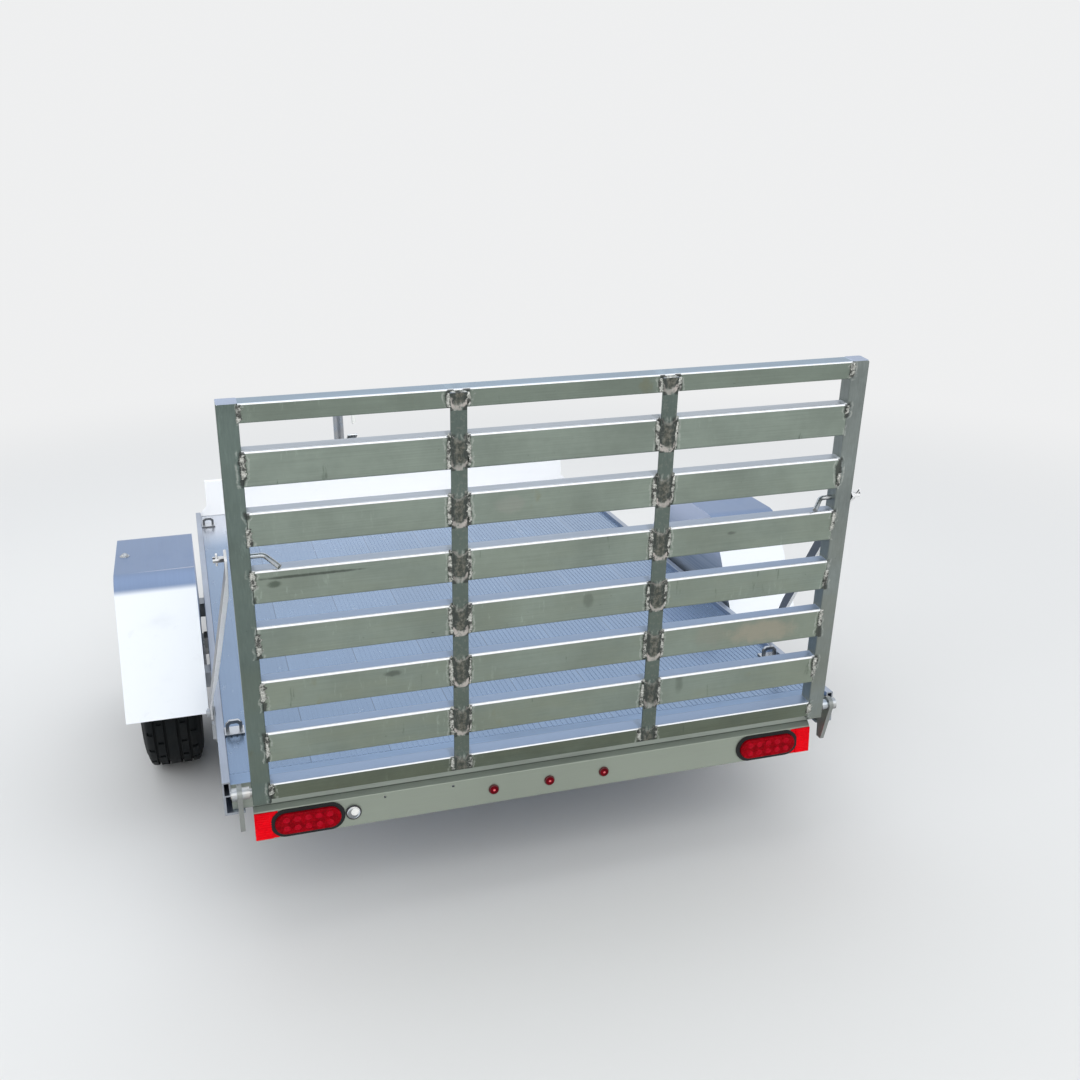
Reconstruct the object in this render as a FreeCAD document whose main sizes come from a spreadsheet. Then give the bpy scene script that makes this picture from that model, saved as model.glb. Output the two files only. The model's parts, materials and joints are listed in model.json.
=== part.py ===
import FreeCAD, Part
import math
import os

import Sketcher

# Open aluminium utility trailer with a slatted ramp gate, in millimetres.
# +X is the trailer's right, +Y its front, +Z up, and the ground is Z = 0.
# The origin is below the middle of the whole length, from gate top to coupler nose.

DOC = FreeCAD.newDocument("UtilityTrailer")

# Driving dimensions
# (name, value)
DIMENSIONS = [
    # bed and side rails
    ("bed_width", 1626),
    ("deck_length", 2390),
    ("deck_height", 429),
    ("lip_height", 14),
    ("lip_width", 20),
    ("lip_wall", 4),
    ("rail_height", 90),
    ("rail_wall", 6),
    ("rail_flange", 50),
    # deck planks
    ("plank_height", 26),
    ("plank_skin", 4),
    ("plank_leg", 4),
    ("plank_foot", 16),
    ("plank_joint", 0.6),
    ("groove_pitch", 14),
    ("groove_width", 5),
    ("groove_depth", 1.2),
    # members across the frame
    ("beam_width", 50),
    ("beam_wall", 4),
    # rear closing beam and lamp channel
    ("closing_setback", 12),
    ("closing_depth", 54),
    ("lamp_face_edge", 2),
    ("lamp_channel_depth", 62),
    ("channel_wall", 4),
    # front wall
    ("wall_height", 151),
    ("wall_inset", 28),
    ("wall_sheet", 3),
    ("wall_flange", 22),
    ("wall_setback", 14),
    # gate, in its own plane from the hinge axis
    ("gate_inset", 48),
    ("gate_height", 1010),
    ("gate_lean", 6.37),
    ("gate_axis_rise", 25),
    ("hinge_setback", 42),
    ("hinge_rise", 1),
    ("post_width", 44.45),
    ("mid_post_width", 38.1),
    ("mid_post_offset", 250),
    ("mid_post_thickness", 6.35),
    ("mid_post_setback", 7),
    ("tube_wall", 3.2),
    ("slat_height", 83),
    ("slat_depth", 38.1),
    ("slat_wall", 2.5),
    ("slat_end_gap", 62),
    ("bar_height", 44),
    ("bar_clearance", 10),
    # gate hinge
    ("pin_radius", 10),
    ("pin_end", 15),
    ("ear_gap", 23),
    ("ear_thickness", 12),
    ("ear_radius", 21),
    ("ear_drop", 116),
    ("running_gap", 0.3),
    # gate latch and support arm
    ("latch_drop", 30),
    ("latch_radius", 6),
    ("latch_tip", 1),
    ("handle_reach", 60),
    ("arm_setback", 429),
    ("arm_pivot_rise", 4),
    ("arm_width", 30),
    ("arm_thickness", 6),
    ("arm_swell", 6),
    ("arm_gap", 5),
    ("arm_straight", 60),
    ("pivot_radius", 8),
    # wheels and axle
    ("tyre_radius", 305),
    ("tyre_width", 178),
    ("tyre_wall", 11),
    ("bead_radius", 165),
    ("rim_width", 126),
    ("rim_sheet", 4),
    ("axle_setback", 1078),
    ("axle_tube", 60),
    ("axle_pad", 6),
    ("arm_trail", 152),
    ("torsion_root", 34),
    ("torsion_tip", 27),
    ("spindle_radius", 18),
    ("stud_circle", 57.15),
    ("stud_radius", 6.35),
    ("flange_radius", 73),
    ("cap_radius", 26),
    # fenders
    ("fender_gap", 17),
    ("fender_side", 28),
    ("fender_sheet", 3),
    ("fender_clearance", 90),
    ("fender_reach", 120),
    ("fender_slant", 204),
    ("fender_bend", 98),
    ("fender_bottom", 326),
    ("fender_lip", 42),
    ("skirt_gap", 15),
    ("stay_spread", 300),
    ("stay_width", 60),
    # tongue and coupler
    ("tongue_size", 76.2),
    ("tongue_wall", 5),
    ("tongue_root", 170),
    ("ball_reach", 1289),
    ("brace_width", 50.8),
    ("brace_angle", 24),
    ("brace_root", 430),
    ("brace_reach", 720),
    ("ball_radius", 25.7),
    ("coupler_wall", 6),
    ("coupler_length", 190),
    ("coupler_drop", 66),
    ("socket_depth", 46),
    ("lever_width", 52),
    # jack
    ("jack_reach", 363),
    ("jack_standoff", 60),
    ("jack_radius", 25.4),
    ("jack_wall", 3.2),
    ("jack_below", 18.8),
    ("jack_above", 317),
    ("leg_overlap", 152),
    ("leg_wall", 3),
    ("foot_length", 140),
    ("foot_width", 110),
    ("foot_plate", 6),
    ("crank_reach", 78),
    ("grip_radius", 11.5),
    ("grip_length", 110),
    # lamps
    ("lamp_end_gap", 1),
    ("lens_length", 165),
    ("lens_height", 57),
    ("lens_depth", 12),
    ("grommet_ends", 10.5),
    ("grommet_brow", 9),
    ("grommet_lip", 4),
    ("hole_margin", 4),
    ("marker_pitch", 152.4),
    ("marker_radius", 11),
    ("marker_ring", 14),
    ("plate_lamp_gap", 21),
    ("plate_lamp_radius", 17),
    ("plate_hole_gap", 82),
    ("plate_hole_pitch", 177.8),
    ("plate_hole_radius", 3.5),
    ("plate_hole_drop", 12),
    ("reflector_width", 37),
    ("reflector_depth", 5),
    # tie-down rings
    ("ring_rear", 300),
    ("ring_front", 160),
    ("ring_rod", 5),
    ("ring_width", 52),
    ("ring_plate", 5),
]

# Places worked out from the driving dimensions
# (name, formula)
PLACES = [
    ("half_bed", "Dims.bed_width / 2"),
    ("rail_outer", "Dims.bed_width / 2 + Dims.lip_width"),
    ("web_inner", "Dims.bed_width / 2 + Dims.lip_width - Dims.rail_wall"),
    ("rail_top", "Dims.deck_height + Dims.lip_height"),
    ("frame_bottom", "Dims.deck_height + Dims.lip_height - Dims.rail_height"),
    ("deck_under", "Dims.deck_height - Dims.plank_height"),
    ("beam_pitch", "(Dims.deck_length + 10) / 6"),
    ("beam_bottom", "Dims.deck_height + Dims.lip_height - Dims.rail_height + Dims.rail_wall"),
    # the gate's top rear corner and the coupler's nose end the whole length
    ("gate_reach", "Dims.hinge_setback + Dims.post_width / 2 * cos(Dims.gate_lean * 1deg)"
                   " + (Dims.gate_height - Dims.gate_axis_rise) * sin(Dims.gate_lean * 1deg)"),
    ("coupler_nose", "Dims.tongue_size / 2 + Dims.coupler_wall"),
    ("ball_setback", "Dims.deck_length + Dims.ball_reach"),
    ("rear", "(gate_reach - ball_setback - coupler_nose) / 2"),
    ("front", "rear + Dims.deck_length"),
    ("ball_y", "rear + ball_setback"),
    ("axle_y", "rear + Dims.axle_setback"),
    ("hinge_y", "rear - Dims.hinge_setback"),
    ("hinge_z", "Dims.deck_height + Dims.hinge_rise"),
    ("half_gate", "half_bed - Dims.gate_inset"),
    ("post_inner", "half_gate - Dims.post_width"),
    ("ear_inner", "half_gate + Dims.ear_gap"),
    ("pin_tip", "ear_inner + Dims.ear_thickness + Dims.pin_end"),
    ("half_post", "Dims.post_width / 2"),
    # rear lights, side by side on the lamp channel's face
    ("lamp_half", "half_gate"),
    ("grommet_length", "Dims.lens_length + 2 * Dims.grommet_ends"),
    ("grommet_height", "Dims.lens_height + 2 * Dims.grommet_brow"),
    ("lamp_face", "grommet_height + 2 * Dims.lamp_face_edge"),
    ("lamp_top", "beam_bottom - Dims.closing_setback"),
    ("lamp_bottom", "lamp_top - lamp_face"),
    ("lamp_z", "lamp_top - lamp_face / 2"),
    ("reflector_height", "lamp_face - 5"),
    ("lamp_x", "lamp_half - Dims.reflector_width - Dims.lamp_end_gap - grommet_length / 2"),
    ("plate_lamp_x", "lamp_x - grommet_length / 2 - Dims.plate_lamp_gap"),
    ("plate_hole_x", "plate_lamp_x - Dims.plate_hole_gap"),
    ("plank_start", "rear + Dims.closing_setback + Dims.closing_depth + Dims.plank_joint"),
    ("wall_y", "front - Dims.wall_setback"),
    ("wall_half", "half_bed - Dims.wall_inset"),
    ("plank_end", "wall_y - Dims.plank_joint"),
    # the slats share the height that the two rails leave
    ("slat_first", "Dims.bar_clearance + Dims.bar_height + Dims.slat_end_gap"),
    ("slat_pitch", "(Dims.gate_height - Dims.bar_height - Dims.slat_end_gap - Dims.slat_height"
                   " - slat_first) / 5"),
    # support arm, from its pivot on the rail to the latch on the gate post
    ("arm_y", "rear + Dims.arm_setback"),
    ("arm_z", "Dims.deck_height + Dims.arm_pivot_rise"),
    ("latch_w", "slat_first + 4 * slat_pitch - Dims.latch_drop - Dims.gate_axis_rise"),
    ("latch_y", "hinge_y - latch_w * sin(Dims.gate_lean * 1deg)"),
    ("latch_z", "hinge_z + latch_w * cos(Dims.gate_lean * 1deg)"),
    ("arm_length", "sqrt((latch_y - arm_y) ^ 2 + (latch_z - arm_z) ^ 2)"),
    ("arm_foot", "rail_outer + Dims.arm_gap"),
    ("arm_head", "half_gate + Dims.latch_tip + Dims.arm_gap"),
    # wheels
    ("fender_inner", "rail_outer + Dims.fender_gap"),
    ("wheel_x", "fender_inner + Dims.fender_side + Dims.tyre_width / 2"),
    ("fender_outer", "wheel_x + Dims.tyre_width / 2 + Dims.fender_side"),
    ("fender_top", "2 * Dims.tyre_radius + Dims.fender_clearance"),
    ("fender_foot", "Dims.tyre_radius + Dims.fender_reach"),
    ("skirt_bottom", "max(Dims.tyre_radius + Dims.torsion_tip; axle_tube_z + Dims.torsion_root)"
                     " + Dims.skirt_gap"),
    ("fender_shoulder", "fender_foot - Dims.fender_slant"),
    ("pad_bottom", "frame_bottom - Dims.axle_pad"),
    ("axle_tube_z", "pad_bottom - Dims.axle_tube / 2"),
    ("axle_tube_y", "axle_y + Dims.arm_trail"),
    ("torsion_inner", "rail_outer + 12"),
    ("torsion_outer", "wheel_x - Dims.tyre_width / 2 - 12"),
    # tongue
    ("half_tongue", "Dims.tongue_size / 2"),
    ("tongue_start", "axle_tube_y + Dims.tongue_root"),
    ("brace_start", "front - Dims.brace_root"),
    ("brace_tip", "front + Dims.brace_reach"),
    ("tongue_top", "beam_bottom"),
    ("tongue_bottom", "beam_bottom - Dims.tongue_size"),
    ("tongue_end", "ball_y - Dims.ball_radius - Dims.coupler_wall"),
    # jack
    ("jack_x", "-half_tongue - Dims.jack_standoff"),
    ("jack_y", "ball_y - Dims.jack_reach"),
    ("jack_bottom", "tongue_bottom - Dims.jack_below"),
    ("jack_top", "tongue_top + Dims.jack_above"),
    ("leg_top", "jack_bottom + Dims.leg_overlap"),
    ("leg_radius", "Dims.jack_radius - Dims.jack_wall - Dims.running_gap"),
]


def fill_sheet(name, rows, formula=False):
    """Make a sheet with one aliased cell for each named row."""
    sheet = DOC.addObject("Spreadsheet::Sheet", name)
    for line, (alias, value) in enumerate(rows, 1):
        sheet.set("A%d" % line, alias)
        sheet.set("B%d" % line, "=" + value if formula else str(value))
        sheet.setAlias("B%d" % line, alias)
    return sheet


DIMS = fill_sheet("Dims", DIMENSIONS)
PLACE = fill_sheet("Place", PLACES, formula=True)
DOC.recompute()

NODES = []


def size(alias):
    """Read a driving dimension as a number."""
    return float(getattr(DIMS, alias))


def place(alias):
    """Read a worked-out place as a number."""
    return float(getattr(PLACE, alias))


def node(piece, label):
    """Name a finished sub-part, which is exported under its label."""
    piece.Label = label
    NODES.append(piece)
    return piece


def move(piece, x="0", y="0", z="0"):
    """Bind a piece's position to three expressions."""
    for axis, value in zip("xyz", (x, y, z)):
        piece.setExpression("Placement.Base." + axis, str(value))
    return piece


def turn(piece, axis, angle):
    """Turn a piece about an axis by an angle in degrees, given as an expression."""
    piece.Placement = FreeCAD.Placement(FreeCAD.Vector(), FreeCAD.Rotation(axis, 1))
    piece.setExpression("Placement.Rotation.Angle", str(angle))
    return piece


X_AXIS = FreeCAD.Vector(1, 0, 0)
Y_AXIS = FreeCAD.Vector(0, 1, 0)
Z_AXIS = FreeCAD.Vector(0, 0, 1)


def box(name, x, y, z):
    """Box between two expressions along each axis."""
    piece = DOC.addObject("Part::Box", name)
    for side, (low, high) in zip(("Length", "Width", "Height"), (x, y, z)):
        piece.setExpression(side, "(%s) - (%s)" % (high, low))
    return move(piece, x[0], y[0], z[0])


def rod(name, axis, radius, low, high, across):
    """Cylinder along an axis, from low to high, at the other two coordinates."""
    piece = DOC.addObject("Part::Cylinder", name)
    piece.setExpression("Radius", str(radius))
    piece.setExpression("Height", "(%s) - (%s)" % (high, low))
    first, second = across
    if axis == "X":
        turn(piece, Y_AXIS, 90)
        return move(piece, low, first, second)
    if axis == "Y":
        turn(piece, X_AXIS, -90)
        return move(piece, first, low, second)
    return move(piece, first, second, low)


def cut(name, base, *tools):
    """Base with the tools removed."""
    piece = DOC.addObject("Part::Cut", name)
    piece.Base = base
    piece.Tool = tools[0] if len(tools) == 1 else fuse(name + "_tools", *tools)
    return piece


def fuse(name, *shapes):
    """One solid from several that meet or overlap."""
    piece = DOC.addObject("Part::MultiFuse", name)
    piece.Shapes = list(shapes)
    piece.Refine = True
    return piece


def common(name, base, tool):
    """The part of the base that lies inside the tool."""
    piece = DOC.addObject("Part::Common", name)
    piece.Base = base
    piece.Tool = tool
    return piece


def group(name, *shapes):
    """Separate like solids that belong to one sub-part."""
    piece = DOC.addObject("Part::Compound", name)
    piece.Links = list(shapes)
    return piece


def mirror(name, source):
    """The same piece on the other side of the trailer."""
    piece = DOC.addObject("Part::Mirroring", name)
    piece.Source = source
    piece.Normal = (1, 0, 0)
    piece.Base = (0, 0, 0)
    return piece


def copy(name, source, x="0", y="0", z="0"):
    """A linked copy of a piece at another place."""
    piece = DOC.addObject("App::Link", name)
    piece.LinkedObject = source
    return move(piece, x, y, z)


def sketch(body, name, plane, outline):
    """Closed outline in a body's plane, each corner bound to two expressions.

    A corner of four values has an arc to the next corner, through the second pair.
    """
    flat = body.newObject("Sketcher::SketchObject", name)
    origin = [item for item in body.Origin.OriginFeatures if item.Role == plane][0]
    flat.AttachmentSupport = [(origin, "")]
    flat.MapMode = "FlatFace"
    numbers = [[evaluate(value) for value in corner] for corner in outline]
    count = len(outline)
    ends = []
    for index, corner in enumerate(numbers):
        start = FreeCAD.Vector(corner[0], corner[1], 0)
        end = FreeCAD.Vector(*numbers[(index + 1) % count][:2], 0)
        if len(corner) == 2:
            flat.addGeometry(Part.LineSegment(start, end))
            ends.append((1, 2))
            continue
        through = FreeCAD.Vector(corner[2], corner[3], 0)
        if (through - start).cross(end - start).z > 0:
            flat.addGeometry(Part.Arc(start, through, end))
            ends.append((1, 2))
        else:
            flat.addGeometry(Part.Arc(end, through, start))
            ends.append((2, 1))
    for index in range(count):
        following = (index + 1) % count
        flat.addConstraint(Sketcher.Constraint(
            "Coincident", index, ends[index][1], following, ends[following][0]))
    for index, corner in enumerate(outline):
        bind_point(flat, index, ends[index][0], corner[0], corner[1])
    for index, corner in enumerate(outline):
        if len(corner) == 4:
            point = flat.addGeometry(Part.Point(FreeCAD.Vector(*numbers[index][2:], 0)), True)
            bind_point(flat, point, 1, corner[2], corner[3])
            flat.addConstraint(Sketcher.Constraint("PointOnObject", point, 1, index))
    return flat


def bind_point(flat, geometry, end, across, up):
    """Hold a sketch point at two expressions from the sketch's origin."""
    for kind, value in (("DistanceX", across), ("DistanceY", up)):
        number = evaluate(value)
        index = flat.addConstraint(Sketcher.Constraint(kind, -1, 1, geometry, end, number))
        flat.setExpression("Constraints[%d]" % index, str(value))


PROBE = DOC.addObject("App::FeaturePython", "Probe")
PROBE.addProperty("App::PropertyFloat", "Value")


def evaluate(value):
    """The number that an expression gives now, as a sketch's starting value."""
    if isinstance(value, (int, float)):
        return float(value)
    result = PROBE.evalExpression(value)
    return float(getattr(result, "Value", result))


def prism(name, plane, outline, low, high):
    """Outline pushed from low to high along the axis that its plane faces."""
    body = DOC.addObject("PartDesign::Body", name)
    flat = sketch(body, name + "_outline", plane, outline)
    pad = body.newObject("PartDesign::Pad", name + "_pad")
    pad.Profile = flat
    pad.setExpression("Length", "(%s) - (%s)" % (high, low))
    if plane == "YZ_Plane":
        move(body, x=low)
    elif plane == "XZ_Plane":
        move(body, y=high)
    else:
        move(body, z=low)
    return body


def lathe(name, outline):
    """Outline of (along, radius) corners turned about the X axis."""
    body = DOC.addObject("PartDesign::Body", name)
    flat = sketch(body, name + "_outline", "XY_Plane", outline)
    turned = body.newObject("PartDesign::Revolution", name + "_turned")
    turned.Profile = flat
    turned.ReferenceAxis = (flat, ["H_Axis"])
    turned.Angle = 360
    return body


def rounded(name, base, radius, choose):
    """Base with the chosen straight edges rounded."""
    DOC.recompute()
    piece = DOC.addObject("Part::Fillet", name)
    piece.Base = base
    edges = [number for number, edge in enumerate(base.Shape.Edges, 1) if choose(edge)]
    if not edges:
        raise ValueError("no edge to round on " + name)
    piece.Edges = [(number, radius, radius) for number in edges]
    return piece


def along_x(edge):
    """True for a straight edge along X."""
    return abs(edge.BoundBox.YLength) < 1e-6 and abs(edge.BoundBox.ZLength) < 1e-6


def along_z(edge):
    """True for a straight edge along Z."""
    return abs(edge.BoundBox.XLength) < 1e-6 and abs(edge.BoundBox.YLength) < 1e-6


def tube(name, x, y, z, wall, along):
    """Rectangular tube, open at both ends, along one axis."""
    outer = box(name + "_outer", x, y, z)
    inset = {
        axis: (low, high) if axis == along
        else ("(%s) + %s" % (low, wall), "(%s) - %s" % (high, wall))
        for axis, (low, high) in zip("XYZ", (x, y, z))
    }
    inner = box(name + "_inner", inset["X"], inset["Y"], inset["Z"])
    return cut(name, outer, inner)


def bent_rod(name, radius, points, bend):
    """Round rod along straight runs joined by arcs, given as corner points."""
    corners = [FreeCAD.Vector(*point) for point in points]
    edges = []
    start = corners[0]
    for before, corner, after in zip(corners, corners[1:], corners[2:]):
        into = (before - corner).normalize()
        out = (after - corner).normalize()
        half = into.getAngle(out) / 2
        reach = bend / math.tan(half)
        first = corner + into * reach
        last = corner + out * reach
        centre = corner + (into + out).normalize() * (bend / math.sin(half))
        middle = centre + (corner - centre).normalize() * bend
        edges.append(Part.LineSegment(start, first).toShape())
        edges.append(Part.Arc(first, middle, last).toShape())
        start = last
    edges.append(Part.LineSegment(start, corners[-1]).toShape())
    spine = DOC.addObject("Part::Feature", name + "_spine")
    spine.Shape = Part.Wire(edges)
    ring = DOC.addObject("Part::Circle", name + "_section")
    ring.setExpression("Radius", str(radius))
    direction = (corners[1] - corners[0]).normalize()
    ring.Placement = FreeCAD.Placement(corners[0], FreeCAD.Rotation(Z_AXIS, direction))
    sweep = DOC.addObject("Part::Sweep", name)
    sweep.Sections = [ring]
    sweep.Spine = (spine, [])
    sweep.Solid = True
    sweep.Frenet = False
    return sweep


def stadium(name, length, height, low, high, x, z):
    """Bar with half-round ends along X, standing on the Y axis from low to high."""
    half = "((%s) - (%s)) / 2" % (length, height)
    middle = box(name + "_middle",
                 ("(%s) - %s" % (x, half), "(%s) + %s" % (x, half)), (low, high),
                 ("(%s) - (%s) / 2" % (z, height), "(%s) + (%s) / 2" % (z, height)))
    ends = [
        rod(name + "_" + side, "Y", "(%s) / 2" % height, low, high,
            ("(%s) %s %s" % (x, sign, half), z))
        for side, sign in (("west", "-"), ("east", "+"))
    ]
    return fuse(name, middle, *ends)


# Side rails: an extruded section with a raised lip over the planks and a foot flange
rail = prism("rail_section", "XZ_Plane", [
    ("Place.half_bed", "Place.rail_top"),
    ("Place.rail_outer", "Place.rail_top"),
    ("Place.rail_outer", "Place.frame_bottom"),
    ("Place.rail_outer - Dims.rail_flange", "Place.frame_bottom"),
    ("Place.rail_outer - Dims.rail_flange", "Place.beam_bottom"),
    ("Place.web_inner", "Place.beam_bottom"),
    ("Place.web_inner", "Place.deck_under"),
    ("Place.half_bed", "Place.deck_under"),
], "Place.rear", "Place.front")
hollow = box("rail_hollow",
             ("Place.half_bed + Dims.lip_wall", "Place.rail_outer - Dims.lip_wall"),
             ("Place.rear", "Place.front"),
             ("Place.deck_under + Dims.lip_wall", "Place.rail_top - Dims.lip_wall"))
right_rail = node(cut("rail_right", rail, hollow), "side_rail_right")
node(mirror("rail_left", right_rail), "side_rail_left")

# Beams across the frame, channels that stand on the rails' foot flanges
beam = prism("beam_section", "YZ_Plane", [
    ("0", "0"),
    ("Dims.beam_width", "0"),
    ("Dims.beam_width", "Dims.beam_wall"),
    ("Dims.beam_wall", "Dims.beam_wall"),
    ("Dims.beam_wall", "Place.deck_under - Place.beam_bottom - Dims.beam_wall"),
    ("Dims.beam_width", "Place.deck_under - Place.beam_bottom - Dims.beam_wall"),
    ("Dims.beam_width", "Place.deck_under - Place.beam_bottom"),
    ("0", "Place.deck_under - Place.beam_bottom"),
], "-Place.web_inner", "Place.web_inner")
BEAM_COUNT = 5
beams = [
    copy("beam_%d" % number, beam, "-Place.web_inner",
         "Place.rear + %d * Place.beam_pitch" % (number + 1), "Place.beam_bottom")
    for number in range(BEAM_COUNT)
]
node(group("beams", *beams), "cross_beams")

# Closing beams at the rear and front ends of the planks
node(prism("rear_beam", "YZ_Plane", [
    ("Place.rear + Dims.closing_setback", "Place.beam_bottom"),
    ("Place.rear + Dims.closing_setback + Dims.closing_depth", "Place.beam_bottom"),
    ("Place.rear + Dims.closing_setback + Dims.closing_depth",
     "Place.beam_bottom + Dims.beam_wall"),
    ("Place.rear + Dims.closing_setback + Dims.beam_wall", "Place.beam_bottom + Dims.beam_wall"),
    ("Place.rear + Dims.closing_setback + Dims.beam_wall", "Dims.deck_height - Dims.beam_wall"),
    ("Place.rear + Dims.closing_setback + Dims.closing_depth",
     "Dims.deck_height - Dims.beam_wall"),
    ("Place.rear + Dims.closing_setback + Dims.closing_depth", "Dims.deck_height"),
    ("Place.rear + Dims.closing_setback", "Dims.deck_height"),
], "-Place.half_bed", "Place.half_bed"), "rear_cross_member")
node(prism("front_beam", "YZ_Plane", [
    ("Place.front", "Place.beam_bottom"),
    ("Place.front", "Dims.deck_height"),
    ("Place.wall_y", "Dims.deck_height"),
    ("Place.wall_y", "Place.deck_under"),
    ("Place.front - Dims.beam_width", "Place.deck_under"),
    ("Place.front - Dims.beam_width", "Place.deck_under - Dims.beam_wall"),
    ("Place.front - Dims.rail_wall", "Place.deck_under - Dims.beam_wall"),
    ("Place.front - Dims.rail_wall", "Place.beam_bottom + Dims.beam_wall"),
    ("Place.front - Dims.beam_width", "Place.beam_bottom + Dims.beam_wall"),
    ("Place.front - Dims.beam_width", "Place.beam_bottom"),
], "-Place.half_bed", "Place.half_bed"), "front_cross_member")

# Deck planks: extruded boards with two feet and fine grooves along the walking face
PLANK_COUNT = 8
PLANK_WIDTH = "(Dims.bed_width / %d - Dims.plank_joint)" % PLANK_COUNT
plank = prism("plank_section", "XZ_Plane", [
    ("0", "0"),
    ("Dims.plank_foot", "0"),
    ("Dims.plank_foot", "Dims.plank_leg"),
    ("Dims.plank_leg", "Dims.plank_leg"),
    ("Dims.plank_leg", "Dims.plank_height - Dims.plank_skin"),
    (PLANK_WIDTH + " / 2 - Dims.plank_leg / 2", "Dims.plank_height - Dims.plank_skin"),
    (PLANK_WIDTH + " / 2 - Dims.plank_leg / 2", "0"),
    (PLANK_WIDTH + " / 2 + Dims.plank_leg / 2", "0"),
    (PLANK_WIDTH + " / 2 + Dims.plank_leg / 2", "Dims.plank_height - Dims.plank_skin"),
    (PLANK_WIDTH + " - Dims.plank_leg", "Dims.plank_height - Dims.plank_skin"),
    (PLANK_WIDTH + " - Dims.plank_leg", "Dims.plank_leg"),
    (PLANK_WIDTH + " - Dims.plank_foot", "Dims.plank_leg"),
    (PLANK_WIDTH + " - Dims.plank_foot", "0"),
    (PLANK_WIDTH, "0"),
    (PLANK_WIDTH, "Dims.plank_height"),
    ("0", "Dims.plank_height"),
], "Place.plank_start", "Place.plank_end")
groove_count = int((evaluate(PLANK_WIDTH) - size("groove_pitch")) // size("groove_pitch"))
grooves = [
    box("groove_%d" % number,
        ("Dims.groove_pitch * %d" % (number + 1),
         "Dims.groove_pitch * %d + Dims.groove_width" % (number + 1)),
        ("Place.plank_start - 1", "Place.plank_end + 1"),
        ("Dims.plank_height - Dims.groove_depth", "Dims.plank_height + 1"))
    for number in range(groove_count)
]
grooved = cut("grooved_plank", plank, *grooves)
planks = [
    copy("plank_%d" % number, grooved,
         "-Place.half_bed + Dims.plank_joint / 2 + %d * Dims.bed_width / %d"
         % (number, PLANK_COUNT), "0", "Place.deck_under")
    for number in range(PLANK_COUNT)
]
node(group("planks", *planks), "deck_planks")

# Front wall: a folded sheet with a foot on the deck, a stiffening fold and end gussets
wall = prism("wall_section", "YZ_Plane", [
    ("Place.wall_y", "Dims.deck_height"),
    ("Place.front", "Dims.deck_height"),
    ("Place.front", "Dims.deck_height + Dims.wall_sheet"),
    ("Place.wall_y + Dims.wall_sheet", "Dims.deck_height + Dims.wall_sheet"),
    ("Place.wall_y + Dims.wall_sheet",
     "Dims.deck_height + Dims.wall_height - Dims.wall_sheet"),
    ("Place.wall_y + Dims.wall_flange",
     "Dims.deck_height + Dims.wall_height - Dims.wall_sheet"),
    ("Place.wall_y + Dims.wall_flange", "Dims.deck_height + Dims.wall_height"),
    ("Place.wall_y", "Dims.deck_height + Dims.wall_height"),
], "-Place.wall_half", "Place.wall_half")
gusset = prism("gusset_section", "XZ_Plane", [
    ("Place.wall_half", "Dims.deck_height"),
    ("Place.half_bed", "Dims.deck_height"),
    ("Place.half_bed", "Place.rail_top"),
    ("Place.wall_half", "Dims.deck_height + 44"),
], "Place.wall_y", "Place.wall_y + Dims.rail_wall")
node(fuse("wall", wall, gusset, mirror("gusset_left", gusset)), "front_wall")

# Lamp channel under the rear end, with its openings for the lamps
channel = prism("channel_section", "YZ_Plane", [
    ("Place.rear", "Place.lamp_bottom"),
    ("Place.rear", "Place.lamp_top"),
    ("Place.rear + Dims.closing_setback", "Place.beam_bottom"),
    ("Place.rear + Dims.lamp_channel_depth", "Place.beam_bottom"),
    ("Place.rear + Dims.lamp_channel_depth", "Place.beam_bottom - Dims.channel_wall"),
    ("Place.rear + Dims.closing_setback + 2", "Place.beam_bottom - Dims.channel_wall"),
    ("Place.rear + Dims.channel_wall", "Place.lamp_top - 2"),
    ("Place.rear + Dims.channel_wall", "Place.lamp_bottom + Dims.channel_wall"),
    ("Place.rear + Dims.lamp_channel_depth - 20", "Place.lamp_bottom + Dims.channel_wall"),
    ("Place.rear + Dims.lamp_channel_depth - 20", "Place.lamp_bottom"),
], "-Place.lamp_half", "Place.lamp_half")
THROUGH = ("Place.rear - 5", "Place.rear + 15")
lamp_holes = [
    stadium("lamp_hole_" + side, "Dims.lens_length + 2 * Dims.hole_margin",
            "Dims.lens_height + 2 * Dims.hole_margin", *THROUGH, x, "Place.lamp_z")
    for side, x in (("left", "-Place.lamp_x"), ("right", "Place.lamp_x"))
]
# (name, x, radius) of the round lamps
ROUND_LAMPS = [
    ("marker_left", "-Dims.marker_pitch", "Dims.marker_radius"),
    ("marker_middle", "0", "Dims.marker_radius"),
    ("marker_right", "Dims.marker_pitch", "Dims.marker_radius"),
    ("plate", "-Place.plate_lamp_x", "Dims.plate_lamp_radius"),
]
round_holes = [
    rod("hole_" + name, "Y", radius, *THROUGH, (x, "Place.lamp_z"))
    for name, x, radius in ROUND_LAMPS
]
plate_holes = [
    rod("plate_hole_%d" % number, "Y", "Dims.plate_hole_radius", *THROUGH,
        ("-Place.plate_hole_x + %d * Dims.plate_hole_pitch" % number,
         "Place.lamp_top - Dims.plate_hole_drop"))
    for number in range(2)
]
node(cut("channel", channel, *lamp_holes, *round_holes, *plate_holes), "lamp_channel")

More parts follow.
